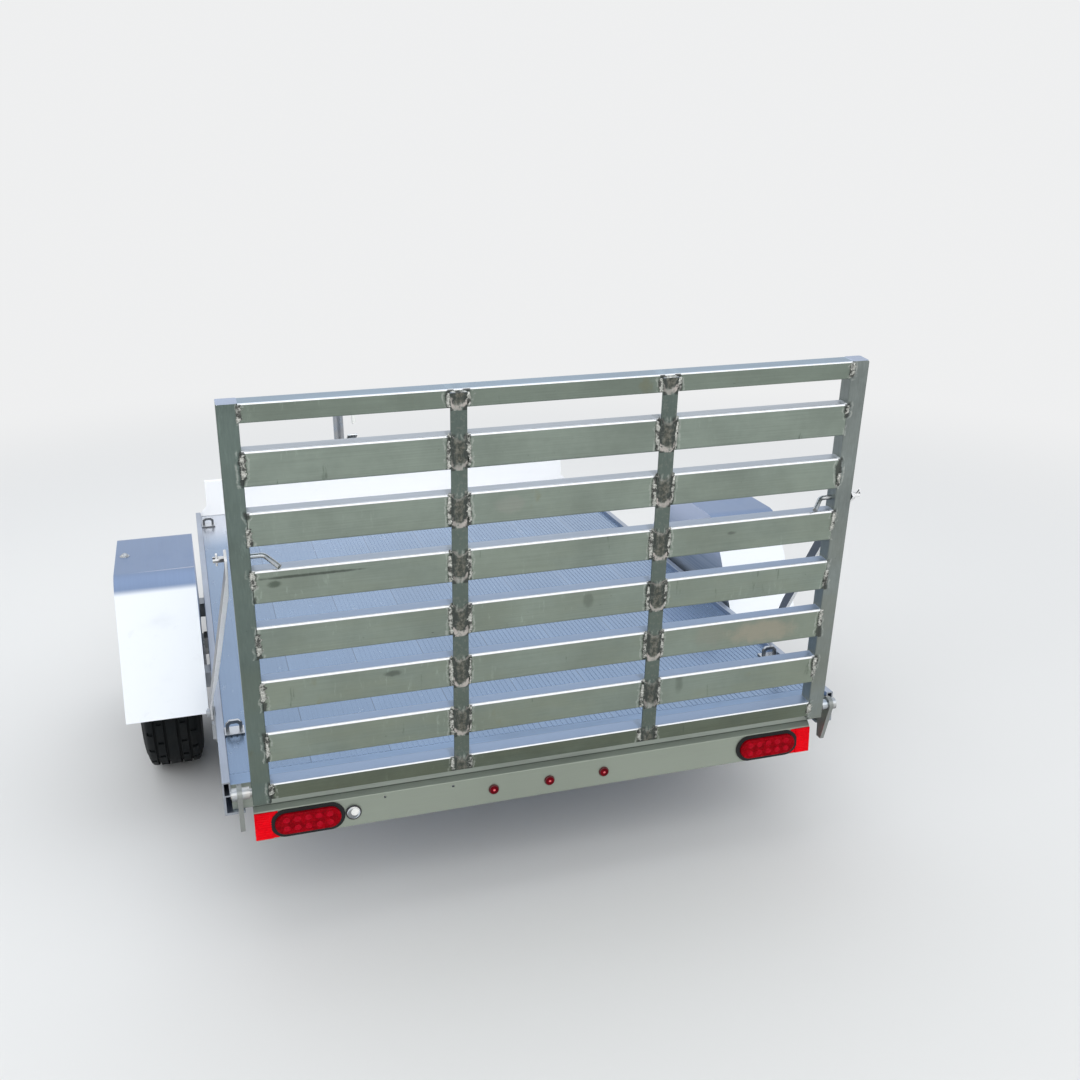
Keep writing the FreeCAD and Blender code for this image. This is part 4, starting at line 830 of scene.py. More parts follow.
class Finishes:
    """Every finish of the trailer, made once and shared."""

    def __init__(self, gate: "GateSizes", deck_front: float) -> None:
        """Make all materials.

        Args:
            gate: The gate's layout, which its soot and runs follow.
            deck_front: How far ahead the deck reaches.
        """
        dust = (0.085, 0.08, 0.07)
        rubber = {"cloud": (9.0, 5.0, 0.6), "grain": (320.0, 2.0), "relief": (0.0003, 0.4),
                  "swing": 0.2, "specular": 0.16}
        finishes = {
            # Rail: its top colour is a painted sky reflection and its side colour is painted
            # shade.
            "rail": Aluminium("rail_aluminium", (0.36, 0.39, 0.43), roughness=0.36,
                              top=(0.46, 0.51, 0.60), side=(0.24, 0.30, 0.40)),
            "frame": Aluminium("frame_aluminium", (0.46, 0.48, 0.50), roughness=0.44),
            "cross": Aluminium("cross_aluminium", (0.46, 0.48, 0.50), Grain.ALONG_X,
                               roughness=0.44),
            # Sill: its top colour is a painted sky reflection.
            "sill": Aluminium("sill_aluminium", (0.33, 0.365, 0.325), Grain.ALONG_X,
                              roughness=0.44, top=(0.29, 0.395, 0.555)),
            "ear": Aluminium("ear_aluminium", (0.30, 0.315, 0.30), Grain.ALONG_Z),
            # Tie-downs: their top colour is a painted highlight.
            "tie": Aluminium("tie_steel", (0.15, 0.155, 0.16), Grain.ALONG_Z, 0.9, 0.3,
                             top=(0.70, 0.72, 0.75)),
            # Channel: its top colour is painted shade on its up-facing faces.
            "channel": Aluminium("channel_aluminium", (0.34, 0.378, 0.320), Grain.ALONG_X,
                                 0.75, 0.46, 0.06, 0.05, top=(0.22, 0.25, 0.215)),
            # Support arms: their side colour is painted shade on the sideways faces.
            "bar": Aluminium("bright_bar", (0.95, 0.955, 0.96), Grain.ALONG_Z, 0.10, 0.34,
                             side=(0.10, 0.105, 0.115)),
            # Deck: its soft blue is a painted sky reflection, and it takes a painted reflection
            # of the front wall near the wall.
            "deck": RibbedDeck("deck_aluminium", (0.30, 0.415, 0.590), 0.20325, 0.014,
                               deck_front - 0.50),
            # The second and third colours of each sheet are painted light: on flat tops, and on
            # inward faces over a painted shade near the bottom.
            "sheet": BrightSheet("bright_sheet", (0.86, 0.89, 0.92), (0.23, 0.305, 0.455),
                                 (0.66, 0.70, 0.82), 0.5, 0.42),
            "wall": BrightSheet("wall_sheet", (0.97, 0.975, 0.98), (0.93, 0.94, 0.96),
                                (0.80, 0.82, 0.85), 0.0, 0.5),
            # The gate finishes' top colours are a painted sky reflection on their up-facing
            # faces.
            "left_post": GateAluminium("left_post_aluminium", gate, (0.130, 0.168, 0.152),
                                       mottle=0.20),
            "right_post": GateAluminium("right_post_aluminium", gate, (0.205, 0.232, 0.222),
                                        mottle=0.26),
            "middle_bar": GateAluminium("middle_bar_aluminium", gate, (0.118, 0.150, 0.134),
                                        mottle=0.18, smears=True),
            "slat": GateAluminium("slat_aluminium", gate, (0.235, 0.279, 0.240), True,
                                  mottle=0.20, drips=0.6, top=(0.51, 0.54, 0.57),
                                  marks=SLAT_MARKS),
            "foot_rail": GateAluminium("foot_rail_aluminium", gate, (0.125, 0.150, 0.117),
                                       True, mottle=0.34, drips=0.4, top=(0.50, 0.53, 0.58)),
            "head_rail": GateAluminium("head_rail_aluminium", gate, (0.188, 0.226, 0.190),
                                       True, mottle=0.16, drips=0.3, top=(0.33, 0.41, 0.48)),
            "zinc": PlatedSteel("zinc_steel", (0.54, 0.55, 0.55)),
            "jack": PlatedSteel("jack_steel", (0.36, 0.385, 0.42), 0.30),
            "dark": PlatedSteel("worn_steel", (0.34, 0.345, 0.34), 0.38),
            "chrome": PlatedSteel("chrome_lamp", (0.82, 0.83, 0.84), 0.08),
            "spangle": SpangledZinc("galvanised_steel"),
            "weld": WeldMetal("weld_metal"),
            "rim": RimPaint("silver_rim"),
            "lens": LampPlastic("red_lens", (0.40, 0.001, 0.008), (0.19, 0.0005, 0.004), 55.0),
            "diode": LampPlastic("lamp_optic", (0.52, 0.004, 0.02), (0.34, 0.002, 0.010), 90.0),
            # A pale pink dome at each marker lamp's middle is a painted highlight.
            "painted_glint": LampPlastic("marker_glint", (0.90, 0.22, 0.24), (0.75, 0.10, 0.12), 90.0),
            "marker": LampPlastic("marker_lens", (0.20, 0.003, 0.010), (0.09, 0.001, 0.005),
                                  80.0),
            "reflector": LampPlastic("reflector_red", (0.95, 0.003, 0.012),
                                     (0.78, 0.002, 0.009), 70.0, 0.2),
            "tyre": Coating("tyre_rubber", (0.0065, 0.0085, 0.0095), dust, 0.12,
                            roughness=0.52, **rubber),
            "rubber": Coating("black_rubber", (0.02, 0.02, 0.021), dust, 0.10, **rubber),
            "iron": Coating("hub_iron", (0.17, 0.175, 0.18), (0.272, 0.28, 0.288), 1.0,
                            (0.35, 0.75), (15.0, 4.0), (190.0, 3.0), (0.0006, 0.6),
                            0.5, 0.15, 0.4),
            "grip": Coating("white_plastic", (0.90, 0.91, 0.88), (0.648, 0.6552, 0.6336),
                            roughness=0.45),
            "black": Coating("black_plastic", (0.025, 0.026, 0.028), (0.018, 0.01872, 0.02016)),
            "garnet": Coating("dark_red_plastic", (0.085, 0.018, 0.020),
                              (0.0612, 0.01296, 0.0144)),
        }
        self.made = {key: finish.make() for key, finish in finishes.items()}

    def __getitem__(self, key: str) -> bpy.types.Material:
        """The finish with this short name."""
        return self.made[key]


# Bench tools


def mm(value: float) -> float:
    """Millimetres as metres."""
    return value / 1000.0


def middle(box: tuple[Vector, Vector]) -> Vector:
    """The middle of a box between two corners."""
    return (box[0] + box[1]) / 2


class Bench:
    """The hand operations that pieces are made with.

    Sizes of primitives and roundings are in millimetres, their places in metres.
    """

    @staticmethod
    def clear() -> None:
        """Leave nothing selected and edit mode closed."""
        if bpy.context.object and bpy.context.object.mode != "OBJECT":
            bpy.ops.object.mode_set(mode="OBJECT")
        bpy.ops.object.select_all(action="DESELECT")

    @staticmethod
    def hold(piece: bpy.types.Object) -> None:
        """Select one piece and make it active.

        Args:
            piece: The piece.
        """
        Bench.clear()
        piece.select_set(True)
        bpy.context.view_layer.objects.active = piece

    @staticmethod
    def settle(name: str) -> bpy.types.Object:
        """Name the primitive that was just added and bake its place into its mesh.

        Args:
            name: Its name.

        Returns:
            The piece.
        """
        piece = bpy.context.object
        piece.name = name
        Bench.hold(piece)
        bpy.ops.object.transform_apply(location=True, rotation=True, scale=True)
        return piece

    @staticmethod
    def cylinder(name: str, radius: float, length: float, centre: Point, axis: str,
                 sides: int, rounding: float, steps: int = 2) -> bpy.types.Object:
        """Cylinder about the axis X, Y or Z, its ends rounded by a bevel in steps.

        Args:
            name: Its name.
            radius: Its radius.
            length: Its length along the axis.
            centre: Its place.
            axis: X, Y or Z.
            sides: Faces around it.
            rounding: Width of the bevel.
            steps: Segments of the bevel.

        Returns:
            The piece.
        """
        Bench.clear()
        turn = {"X": (0, math.pi / 2, 0), "Y": (math.pi / 2, 0, 0), "Z": (0, 0, 0)}[axis]
        bpy.ops.mesh.primitive_cylinder_add(
            vertices=sides, radius=mm(radius), depth=mm(length), location=centre, rotation=turn)
        return Bench.chamfer(Bench.settle(name), rounding, steps)

    @staticmethod
    def block(name: str, low: Point, high: Point, rounding: float) -> bpy.types.Object:
        """Box between two corners, with rounded edges.

        Args:
            name: Its name.
            low: Its lower corner.
            high: Its upper corner.
            rounding: Width of the bevel.

        Returns:
            The piece.
        """
        Bench.clear()
        centre = [(a + b) / 2 for a, b in zip(low, high)]
        bpy.ops.mesh.primitive_cube_add(size=1.0, location=centre)
        bpy.context.object.scale = [b - a for a, b in zip(low, high)]
        return Bench.chamfer(Bench.settle(name), rounding)

    @staticmethod
    def ball(name: str, radius: float, centre: Point, squash: Point,
             sides: int = 20) -> bpy.types.Object:
        """Sphere squashed along its axes.

        Args:
            name: Its name.
            radius: Its radius.
            centre: Its place.
            squash: Scale along X, Y and Z.
            sides: Segments around it.

        Returns:
            The piece.
        """
        Bench.clear()
        bpy.ops.mesh.primitive_uv_sphere_add(
            segments=sides, ring_count=sides // 2, radius=mm(radius), location=centre,
            scale=squash)
        return Bench.settle(name)

    @staticmethod
    def ring(name: str, radius: float, thick: float, centre: Point) -> bpy.types.Object:
        """Ring that faces the rear.

        Args:
            name: Its name.
            radius: Radius of its middle line.
            thick: Radius of its section.
            centre: Its place.

        Returns:
            The piece.
        """
        Bench.clear()
        bpy.ops.mesh.primitive_torus_add(
            location=centre, rotation=(math.pi / 2, 0, 0), major_radius=mm(radius),
            minor_radius=mm(thick), major_segments=40, minor_segments=10)
        return Bench.settle(name)

    @staticmethod
    def enter(piece: bpy.types.Object, kind: str = "VERT", action: str = "SELECT") -> None:
        """Open the piece's mesh with everything selected, or nothing.

        Args:
            piece: The piece.
            kind: VERT, EDGE or FACE.
            action: SELECT or DESELECT.
        """
        Bench.hold(piece)
        bpy.ops.object.mode_set(mode="EDIT")
        bpy.ops.mesh.select_mode(type=kind)
        bpy.ops.mesh.select_all(action=action)

    @staticmethod
    def pick(piece: bpy.types.Object, kind: str, test: Callable[[Any], bool]) -> None:
        """Open the mesh with only those edges or faces selected that pass a test.

        Args:
            piece: The piece to open.
            kind: EDGE or FACE.
            test: Says whether an edge or face is wanted.
        """
        Bench.enter(piece, kind, "DESELECT")
        mesh = bmesh.from_edit_mesh(piece.data)
        for part in mesh.edges if kind == "EDGE" else mesh.faces:
            if test(part):
                part.select_set(True)
        bmesh.update_edit_mesh(piece.data)

    @staticmethod
    def leave() -> None:
        """Leave edit mode."""
        bpy.ops.object.mode_set(mode="OBJECT")

    @staticmethod
    def smooth(piece: bpy.types.Object, angle: float) -> None:
        """Shade the piece smooth up to an angle in degrees."""
        Bench.hold(piece)
        bpy.ops.object.shade_smooth_by_angle(angle=math.radians(angle))

    @staticmethod
    def apply(piece: bpy.types.Object, kind: str, **settings: Any) -> bpy.types.Object:
        """Add a modifier, set it and apply it.

        Args:
            piece: The piece.
            kind: The modifier's type.
            **settings: Its properties.

        Returns:
            The piece.
        """
        Bench.hold(piece)
        modifier = piece.modifiers.new(kind.title(), kind)
        for key, value in settings.items():
            setattr(modifier, key, value)
        bpy.ops.object.modifier_apply(modifier=modifier.name)
        return piece

    @staticmethod
    def chamfer(piece: bpy.types.Object, width: float, steps: int = 2) -> bpy.types.Object:
        """Round every sharp edge by a bevel."""
        return Bench.apply(piece, "BEVEL", width=mm(width), segments=steps,
                           limit_method="ANGLE", angle_limit=math.radians(35))

    @staticmethod
    def copy(piece: bpy.types.Object, name: str, shift: Matrix) -> bpy.types.Object:
        """Copy with its own mesh, moved by a matrix.

        Args:
            piece: What is copied.
            name: The copy's name.
            shift: The matrix.

        Returns:
            The copy.
        """
        mesh = piece.data.copy()
        mesh.transform(shift)
        twin = bpy.data.objects.new(name, mesh)
        bpy.context.scene.collection.objects.link(twin)
        return twin

    @staticmethod
    def join(name: str, pieces: Sequence[bpy.types.Object]) -> bpy.types.Object:
        """One object from several.

        Args:
            name: Its name.
            pieces: What it is made from.

        Returns:
            The joined piece.
        """
        Bench.clear()
        for piece in pieces:
            piece.select_set(True)
        bpy.context.view_layer.objects.active = pieces[0]
        if len(pieces) > 1:
            bpy.ops.object.join()
        pieces[0].name = name
        return pieces[0]

    @staticmethod
    def trace(name: str, points: Sequence[Point]) -> bpy.types.Object:
        """Line of edges through points, drawn by extruding one vertex.

        Args:
            name: Its name.
            points: The points in order.

        Returns:
            The piece.
        """
        Bench.clear()
        bpy.ops.mesh.primitive_plane_add(size=0.01, location=points[0])
        piece = Bench.settle(name)
        Bench.enter(piece)
        bpy.ops.mesh.merge(type="CENTER")
        for before, after in zip(points, points[1:]):
            move = tuple(b - a for a, b in zip(before, after))
            bpy.ops.mesh.extrude_vertices_move(TRANSFORM_OT_translate={"value": move})
        Bench.leave()
        return piece

    @staticmethod
    def lathe(piece: bpy.types.Object, centre: Sequence[float], axis: Point,
              steps: int) -> None:
        """Spin a traced line all the way round an axis and close its seams.

        Args:
            piece: The line.
            centre: A point of the axis.
            axis: The axis's direction.
            steps: Segments of the turn.
        """
        Bench.enter(piece)
        bpy.ops.mesh.spin(steps=steps, angle=math.tau, center=centre, axis=axis)
        bpy.ops.mesh.select_all(action="SELECT")
        bpy.ops.mesh.remove_doubles(threshold=1e-5)
        bpy.ops.mesh.normals_make_consistent(inside=False)
        Bench.leave()

    @staticmethod
    def dress(piece: bpy.types.Object, finish: bpy.types.Material, slot: str,
              body: str) -> None:
        """Give a made piece its finish and the body that it rides on.

        Args:
            piece: The piece.
            finish: Its material.
            slot: Not used.
            body: The body.
        """
        piece.data.materials.clear()
        piece.data.materials.append(finish)
        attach(piece, body)
        LOG.info("%s: %d faces", piece.name, len(piece.data.polygons))


# Sub-assemblies


@dataclass
class GateSizes:
    """The gate's layout in its own plane, in metres from the hinge axis."""

    hinge: tuple[float, float]
    lean: float = math.radians(6.37)
    rear: float = mm(-22.225)
    front: float = mm(15.875)
    slat_low: float = mm(91.0)
    slat_high: float = mm(83.0)
    pitch: float = mm(141.0)
    slats: int = 6
    post_seam: float = mm(720.55)
    bar_middle: float = mm(250.0)
    bar_half: float = mm(19.05)
    bar_top: float = mm(978.0)
    rails: tuple[tuple[float, float], ...] = ((mm(-15.0), mm(44.0)), (mm(941.0), mm(44.0)))

    def frame(self, x: float, depth: float, rise: float) -> Matrix:
        """Placement of a piece drawn upright, on the leaning gate.

        Args:
            x: Place across the gate.
            depth: Place ahead of the hinge, square to the gate's plane.
            rise: Height above the hinge, in the gate's plane.

        Returns:
            The matrix.
        """
        turn = Matrix.Rotation(self.lean, 4, "X")
        across, ahead, up = turn @ Vector((x, depth, rise))
        return Matrix.Translation((across, self.hinge[0] + ahead, self.hinge[1] + up)) @ turn

    def rows(self) -> list[tuple[float, float]]:
        """Lower edge and height of every slat, from the lowest, and then of the rails."""
        slats = [(self.slat_low + self.pitch * row, self.slat_high)
                 for row in range(self.slats)]
        return slats + list(self.rails)


@dataclass
class Shop:
    """What every sub-assembly works with."""

    frame: dict[str, Any]
    finishes: Finishes
    slots: dict[str, str] = field(default_factory=dict)

    def __post_init__(self) -> None:
        """Read each node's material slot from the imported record."""
        for part in self.frame["record"]["subparts"]:
            self.slots[part["node"]] = part["material_slot"]

    def body(self, node: str) -> str:
        """The body that a node rides on.

        Args:
            node: The node.

        Returns:
            The body's name.
        """
        for body, members in self.frame["record"]["behaviour"]["bodies"].items():
            if node in members:
                return body
        raise KeyError(node)

    def paint(self, finish: str, *nodes: str) -> None:
        """Give carried-over nodes a finish.

        Args:
            finish: Short name of the finish.
            *nodes: The nodes.
        """
        for name in nodes:
            piece = self.frame["nodes"][name]
            piece.data.materials.clear()
            piece.data.materials.append(self.finishes[finish])
            LOG.info("%s: %s", name, finish)

    def gather(self, name: str, pieces: Sequence[bpy.types.Object], finish: str, slot: str,
               body: str = "trailer", angle: float = 40.0, instead: str = "") -> None:
        """Join pieces into one and dress it.

        Args:
            name: The joined piece's name.
            pieces: What it is made from.
            finish: Short name of its finish.
            slot: Its material slot.
            body: The body that it rides on.
            angle: Angle in degrees up to which it is shaded smooth, or 0 to leave it.
            instead: The carried-over node that it replaces, if any.
        """
        joined = Bench.join(name, pieces)
        if angle:
            Bench.smooth(joined, angle)
        if instead:
            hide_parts(instead)
        Bench.dress(joined, self.finishes[finish], slot, body)

    def ease(self, node: str, finish: str, radius: float, steps: int = 2,
             along: str = "", shortest: float = 300.0) -> None:
        """Stand-in for a node, with its outer edges rounded.

        Args:
            node: The carried-over node that is replaced.
            finish: Short name of its finish.
            radius: Width of the rounding in millimetres.
            steps: Segments of the rounding.
            along: Axis that the rounded edges follow, or nothing for all edges.
            shortest: Length in millimetres below which an edge stays sharp.
        """
        source = self.frame["nodes"][node]
        piece = bpy.data.objects.new(node + "_eased", source.data.copy())
        bpy.context.scene.collection.objects.link(piece)
        Bench.enter(piece)
        bpy.ops.mesh.remove_doubles(threshold=1e-6)
        bpy.ops.mesh.dissolve_limited(angle_limit=math.radians(1.0))

        def outer(edge: bmesh.types.BMEdge) -> bool:
            """True for a long convex edge between two faces that turn.

            Args:
                edge: The edge.

            Returns:
                Whether it is rounded.
            """
            if len(edge.link_faces) != 2 or not edge.is_convex:
                return False
            if edge.calc_length() < mm(shortest) or edge.calc_face_angle(0.0) < math.radians(40):
                return False
            run = (edge.verts[1].co - edge.verts[0].co).normalized()
            return not along or abs(run["XYZ".index(along)]) > 0.9

        Bench.pick(piece, "EDGE", outer)
        bpy.ops.mesh.bevel(offset=mm(radius), segments=steps, affect="EDGES",
                           clamp_overlap=True)
        Bench.leave()
        Bench.smooth(piece, 40.0)
        Bench.apply(piece, "WEIGHTED_NORMAL", keep_sharp=True, weight=100)
        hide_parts(node)
        Bench.dress(piece, self.finishes[finish], self.slots[node], self.body(node))


@dataclass
class Gate:
    """Ramp gate: rounded tubes and the weld beads that hold the slats."""

    shop: Shop
    sizes: GateSizes
    bead_width: float = mm(12.0)
    bead_rise: float = mm(5.0)
    bead_length: float = mm(80.0)
    bead_gap: float = mm(3.5)
    bead_top: float = 0.97
    wander: float = 0.10
    ripples: int = 10
    hook: float = mm(17.0)
    left_runs: tuple[tuple[float, float], ...] = (
        (0.15, 0.90), (0.30, 0.95), (0.10, 0.80), (0.42, 1.00), (0.00, 0.55), (0.22, 0.92),
        (0.30, 1.00), (0.00, 0.95))
    right_runs: tuple[tuple[float, float], ...] = (
        (0.20, 0.95), (0.35, 1.00), (0.10, 0.70), (0.30, 0.95), (0.05, 0.52), (0.68, 0.95),
        (0.20, 0.90), (0.05, 0.95))

    def tubes(self) -> None:
        """Round the drawn edges of posts, bars, rails and slats."""
        for side, _ in SIDES:
            self.shop.ease("gate_post_" + side, side + "_post", 3.5, 3)
        self.shop.ease("gate_mid_posts", "middle_bar", 1.4)
        self.shop.ease("gate_bottom_rail", "foot_rail", 4.0, 3, "X")
        self.shop.ease("gate_top_rail", "head_rail", 4.0, 3, "X")
        self.shop.ease("gate_slats", "slat", 6.2, 4, "X")

    def bead(self, number: int) -> bpy.types.Object:
        """One rippled weld bead, drawn upright about the origin.

        Args:
            number: Varies the lumps.

        Returns:
            The bead.
        """
        points = []
        last = self.ripples * 3
        for step in range(last + 1):
            along = 2.0 * step / last - 1.0
            swell = math.sqrt(max(0.0, 1.0 - along ** 6))
            ripple = 0.74 + 0.26 * abs(math.sin(math.pi * self.ripples * step / last))
            points.append((0.5 * swell * ripple, 0.0, along * self.bead_length / 2))
        piece = Bench.trace("bead_%d" % number, points)
        Bench.lathe(piece, (0.0, 0.0, 0.0), (0.0, 0.0, 1.0), 10)
        piece.data.transform(Matrix.Diagonal((self.bead_width, self.bead_rise * 2.0, 1.0, 1.0)))
        texture = bpy.data.textures.new("bead_lumps_%d" % number, "CLOUDS")
        texture.noise_scale = 0.016
        texture.noise_depth = 1
        shift = Matrix.Translation((0.37 * number, 0.11 * number, 0.0))
        piece.data.transform(shift)
        for strength, direction in ((0.0055, "NORMAL"), (0.011, "X")):
            Bench.apply(piece, "DISPLACE", texture=texture, strength=strength,
                        texture_coords="LOCAL", direction=direction)
        piece.data.transform(shift.inverted())
        Bench.smooth(piece, 60.0)
        return piece

    def runs(self) -> list[tuple[float, float, float, float]]:
        """Every bead as (x, depth, lower end, upper end) in the gate's plane.

        Returns:
            The beads, from the lowest slat up and then those of the rails.
        """
        sizes = self.sizes
        laid = []
        for number, (low, high) in enumerate(sizes.rows()):
            for sign, share in ((-1.0, self.left_runs), (1.0, self.right_runs)):
                start, stop = share[number]
                seam = sign * sizes.post_seam
                laid.append((seam, sizes.rear, low + high * start, low + high * stop))
                front = sizes.front if high > 0.05 else -sizes.rear
                laid.append((seam, front, low + high * 0.1, low + high * 0.9))
                for edge in (-1.0, 1.0):
                    x = sign * sizes.bar_middle + edge * (sizes.bar_half + self.bead_gap)
                    wobble = self.wander * math.sin(number * 2.7 + sign + 1.9 * edge)
                    top = min(low + high * (self.bead_top + min(wobble, 0.0)), sizes.bar_top)
                    foot = max(low + high * max(0.03, wobble), mm(-8.0))
                    laid.append((x, sizes.rear - mm(1.0), foot, top))
        return laid

    def hooks(self, masters: Sequence[bpy.types.Object]) -> list[bpy.types.Object]:
        """Short beads that curl from the joints' upper ends onto the middle bars.

        Args:
            masters: The beads that are copied.

        Returns:
            The copies.
        """
        sizes = self.sizes
        made = []
        for number, (low, high) in enumerate(sizes.rows()[:sizes.slats]):
            for side in (-1, 1):
                for edge in (-1, 1):
                    seed = number * 3 + side + 5 * edge + 8
                    curl = math.radians(38 + 9 * (seed % 4)) * edge
                    long = self.hook * (0.8 + 0.15 * (seed % 3))
                    x = side * sizes.bar_middle + edge * (sizes.bar_half - mm(1.5))
                    place = sizes.frame(x, sizes.rear - mm(2.0), low + high * self.bead_top)
                    turned = place @ Matrix.Rotation(curl, 4, "Y") @ Matrix.Diagonal(
                        (0.62, 0.8, long / self.bead_length, 1.0))
                    made.append(Bench.copy(masters[seed % 4], "hook", turned))
        return made

    def welds(self) -> None:
        """Lay the beads, and a short one over the top end of each middle bar."""
        sizes = self.sizes
        masters = [self.bead(number) for number in range(4)]
        laid = self.hooks(masters)
        for count, (x, depth, foot, top) in enumerate(self.runs()):
            flip = Matrix.Rotation(math.pi * (count % 2), 4, "Y")
            width = 0.80 + 0.45 * ((count * 37) % 11) / 11.0
            lean = Matrix.Rotation(0.05 * math.sin(count * 2.3), 4, "Y")
            stretch = Matrix.Diagonal((width, 1.0, (top - foot) / self.bead_length, 1.0))
            place = sizes.frame(x, depth, (foot + top) / 2)
            turned = place @ lean @ flip @ stretch
            laid.append(Bench.copy(masters[(count * 7) % 4], "bead", turned))
        lying = Matrix.Rotation(math.pi / 2, 4, "Y")
        stretch = Matrix.Diagonal((0.6, 0.8, 2.0 * sizes.bar_half / self.bead_length, 1.0))
        for master, (_, sign) in zip(masters, SIDES):
            place = sizes.frame(sign * sizes.bar_middle, sizes.rear - mm(1.5), sizes.bar_top)
            laid.append(Bench.copy(master, "bead", place @ lying @ stretch))
        for master in masters:
            bpy.data.objects.remove(master)
        self.shop.gather("gate_welds", laid, "weld", "gate_aluminium", "gate", 0.0)

    def build(self) -> None:
        """Make the gate's pieces."""
        self.tubes()
        self.welds()
        self.shop.paint("zinc", "gate_latch_left", "gate_latch_right")


@dataclass
class Bed:
    """Rails, deck, front wall, beams, tie-down rings and hinge hardware."""

    shop: Shop

    def build(self) -> None:
        """Round the drawn edges and give the bed its finishes."""
        shop = self.shop
        for side, _ in SIDES:
            shop.ease("side_rail_" + side, "rail", 2.5, along="Y")
        shop.ease("rear_cross_member", "sill", 2.0, along="X")
        shop.ease("front_cross_member", "cross", 1.5, along="X")
        shop.ease("front_wall", "wall", 2.0, along="X")
        shop.ease("hinge_ears", "ear", 1.2, shortest=12.0)
        shop.ease("tie_downs", "tie", 1.0, shortest=12.0)
        shop.paint("deck", "deck_planks")
        shop.paint("cross", "cross_beams")
        shop.paint("zinc", "hinge_pins")
        shop.paint("frame", "arm_pivots")


@dataclass
class Lights:
    """Lamp channel with its lamps, lenses and reflectors."""

    shop: Shop
    rows: int = 2
    columns: int = 5
    optic_pitch: float = mm(27.0)
    row_pitch: float = mm(24.0)
    lens_half: float = mm(82.5)
    marker_half: float = mm(14.0)
    tape_width: float = mm(58.0)
    plate_width: float = mm(43.0)
    ribs: int = 11
    rib_pitch: float = mm(6.4)

    def lenses(self) -> None:
        """Crown the tail lamps' lenses and set the optics behind them."""
        self.shop.ease("tail_lamps", "lens", 4.0, 3, shortest=0.5)
        low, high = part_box("tail_lamps")
        master = Bench.ball("optic", 9.0, (0.0, 0.0, 0.0), (1.0, 0.28, 0.92))
        optics = []
        for _, sign in SIDES:
            centre = sign * (high.x - self.lens_half)
            for row in range(self.rows):
                for column in range(self.columns):
                    x = centre + (column - (self.columns - 1) / 2) * self.optic_pitch
                    z = (low.z + high.z) / 2 + (row - 0.5) * self.row_pitch
                    place = Matrix.Translation((x, low.y + mm(0.6), z))
                    optics.append(Bench.copy(master, "optic", place))
        bpy.data.objects.remove(master)
        self.shop.gather("lamp_optics", optics, "diode", "red_lens", angle=60.0)

    def markers(self) -> None:
        """Bowl lenses of the three round lamps, each in a dark ring, with a pale pink dome at its
        middle that is a painted highlight.
        """
        low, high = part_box("marker_lamps")
        rings, glint_domes = [], []
        for share in (-1.0, 0.0, 1.0):
            x = (low.x + high.x) / 2 + share * ((high.x - low.x) / 2 - self.marker_half)
            z = (low.z + high.z) / 2
            rings.append(Bench.ring("ring", 11.6, 2.0, (x, low.y + mm(3.2), z)))
            # Painted highlight: a pale pink dome at the lens's middle.
            glint_domes.append(Bench.ball("painted_glint", 4.2, (x, low.y + mm(1.2), z), (1.0, 0.5, 0.9)))
        self.shop.gather("marker_rings", rings, "garnet", "red_lens", angle=60.0)
        self.shop.gather("marker_glints", glint_domes, "painted_glint", "red_lens", angle=60.0)
        self.shop.ease("marker_lamps", "marker", 2.0, 3, shortest=0.5)

    def reflectors(self) -> None:
        """Ribbed reflectors at the channel's ends."""
        low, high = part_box("rear_reflectors")
        made = []
        for _, sign in SIDES:
            near, far = sorted((sign * (high.x - self.tape_width), sign * high.x))
            made.append(Bench.block("tape", (near, high.y - mm(1.0), low.z),
                                    (far, high.y, high.z), 0.3))
            near, far = sorted((sign * (high.x - self.plate_width), sign * high.x))
            made.append(Bench.block("plate", (near, low.y + mm(1.2), low.z),
                                    (far, high.y, high.z), 1.0))
            for rib in range(self.ribs):
                z = low.z + mm(5.0) + rib * self.rib_pitch
                made.append(Bench.block("rib", (near + mm(2.5), low.y, z - mm(2.2)),
                                        (far - mm(2.5), low.y + mm(2.0), z + mm(2.2)), 0.8))
        self.shop.gather("reflector_faces", made, "reflector", "reflector_red",
                         instead="rear_reflectors")

    def plate_lamp(self) -> None:
        """Chrome hood with its black ring and white dome."""
        low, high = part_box("plate_lamp")
        x, y, z = (low.x + high.x) / 2, low.y, (low.z + high.z) / 2
        ring = Bench.ring("ring", 18.0, 2.4, (x, y + mm(3.2), z))
        hood = Bench.cylinder("hood", 13.5, 5.0, (x - mm(2.5), y + mm(1.6), z - mm(2.0)),
                              "Y", 40, 1.6, 3)
        dome = Bench.ball("dome", 12.0, (x + mm(2.5), y + mm(2.2), z + mm(2.0)),
                          (1.0, 0.42, 1.0), 28)
        for name, piece, finish, angle in (("ring", ring, "black", 60.0),
                                           ("hood", hood, "dark", 40.0),
                                           ("dome", dome, "grip", 60.0)):
            self.shop.gather("plate_lamp_" + name, [piece], finish, "chrome_lamp", angle=angle)
        self.shop.ease("plate_lamp", "chrome", 3.0, 3, shortest=0.5)

    def build(self) -> None:
        """Make all the rear lights."""
        self.shop.ease("lamp_channel", "channel", 2.0, along="X")
        self.lenses()
        self.markers()
        self.reflectors()
        self.plate_lamp()
        self.shop.paint("rubber", "lamp_grommets")


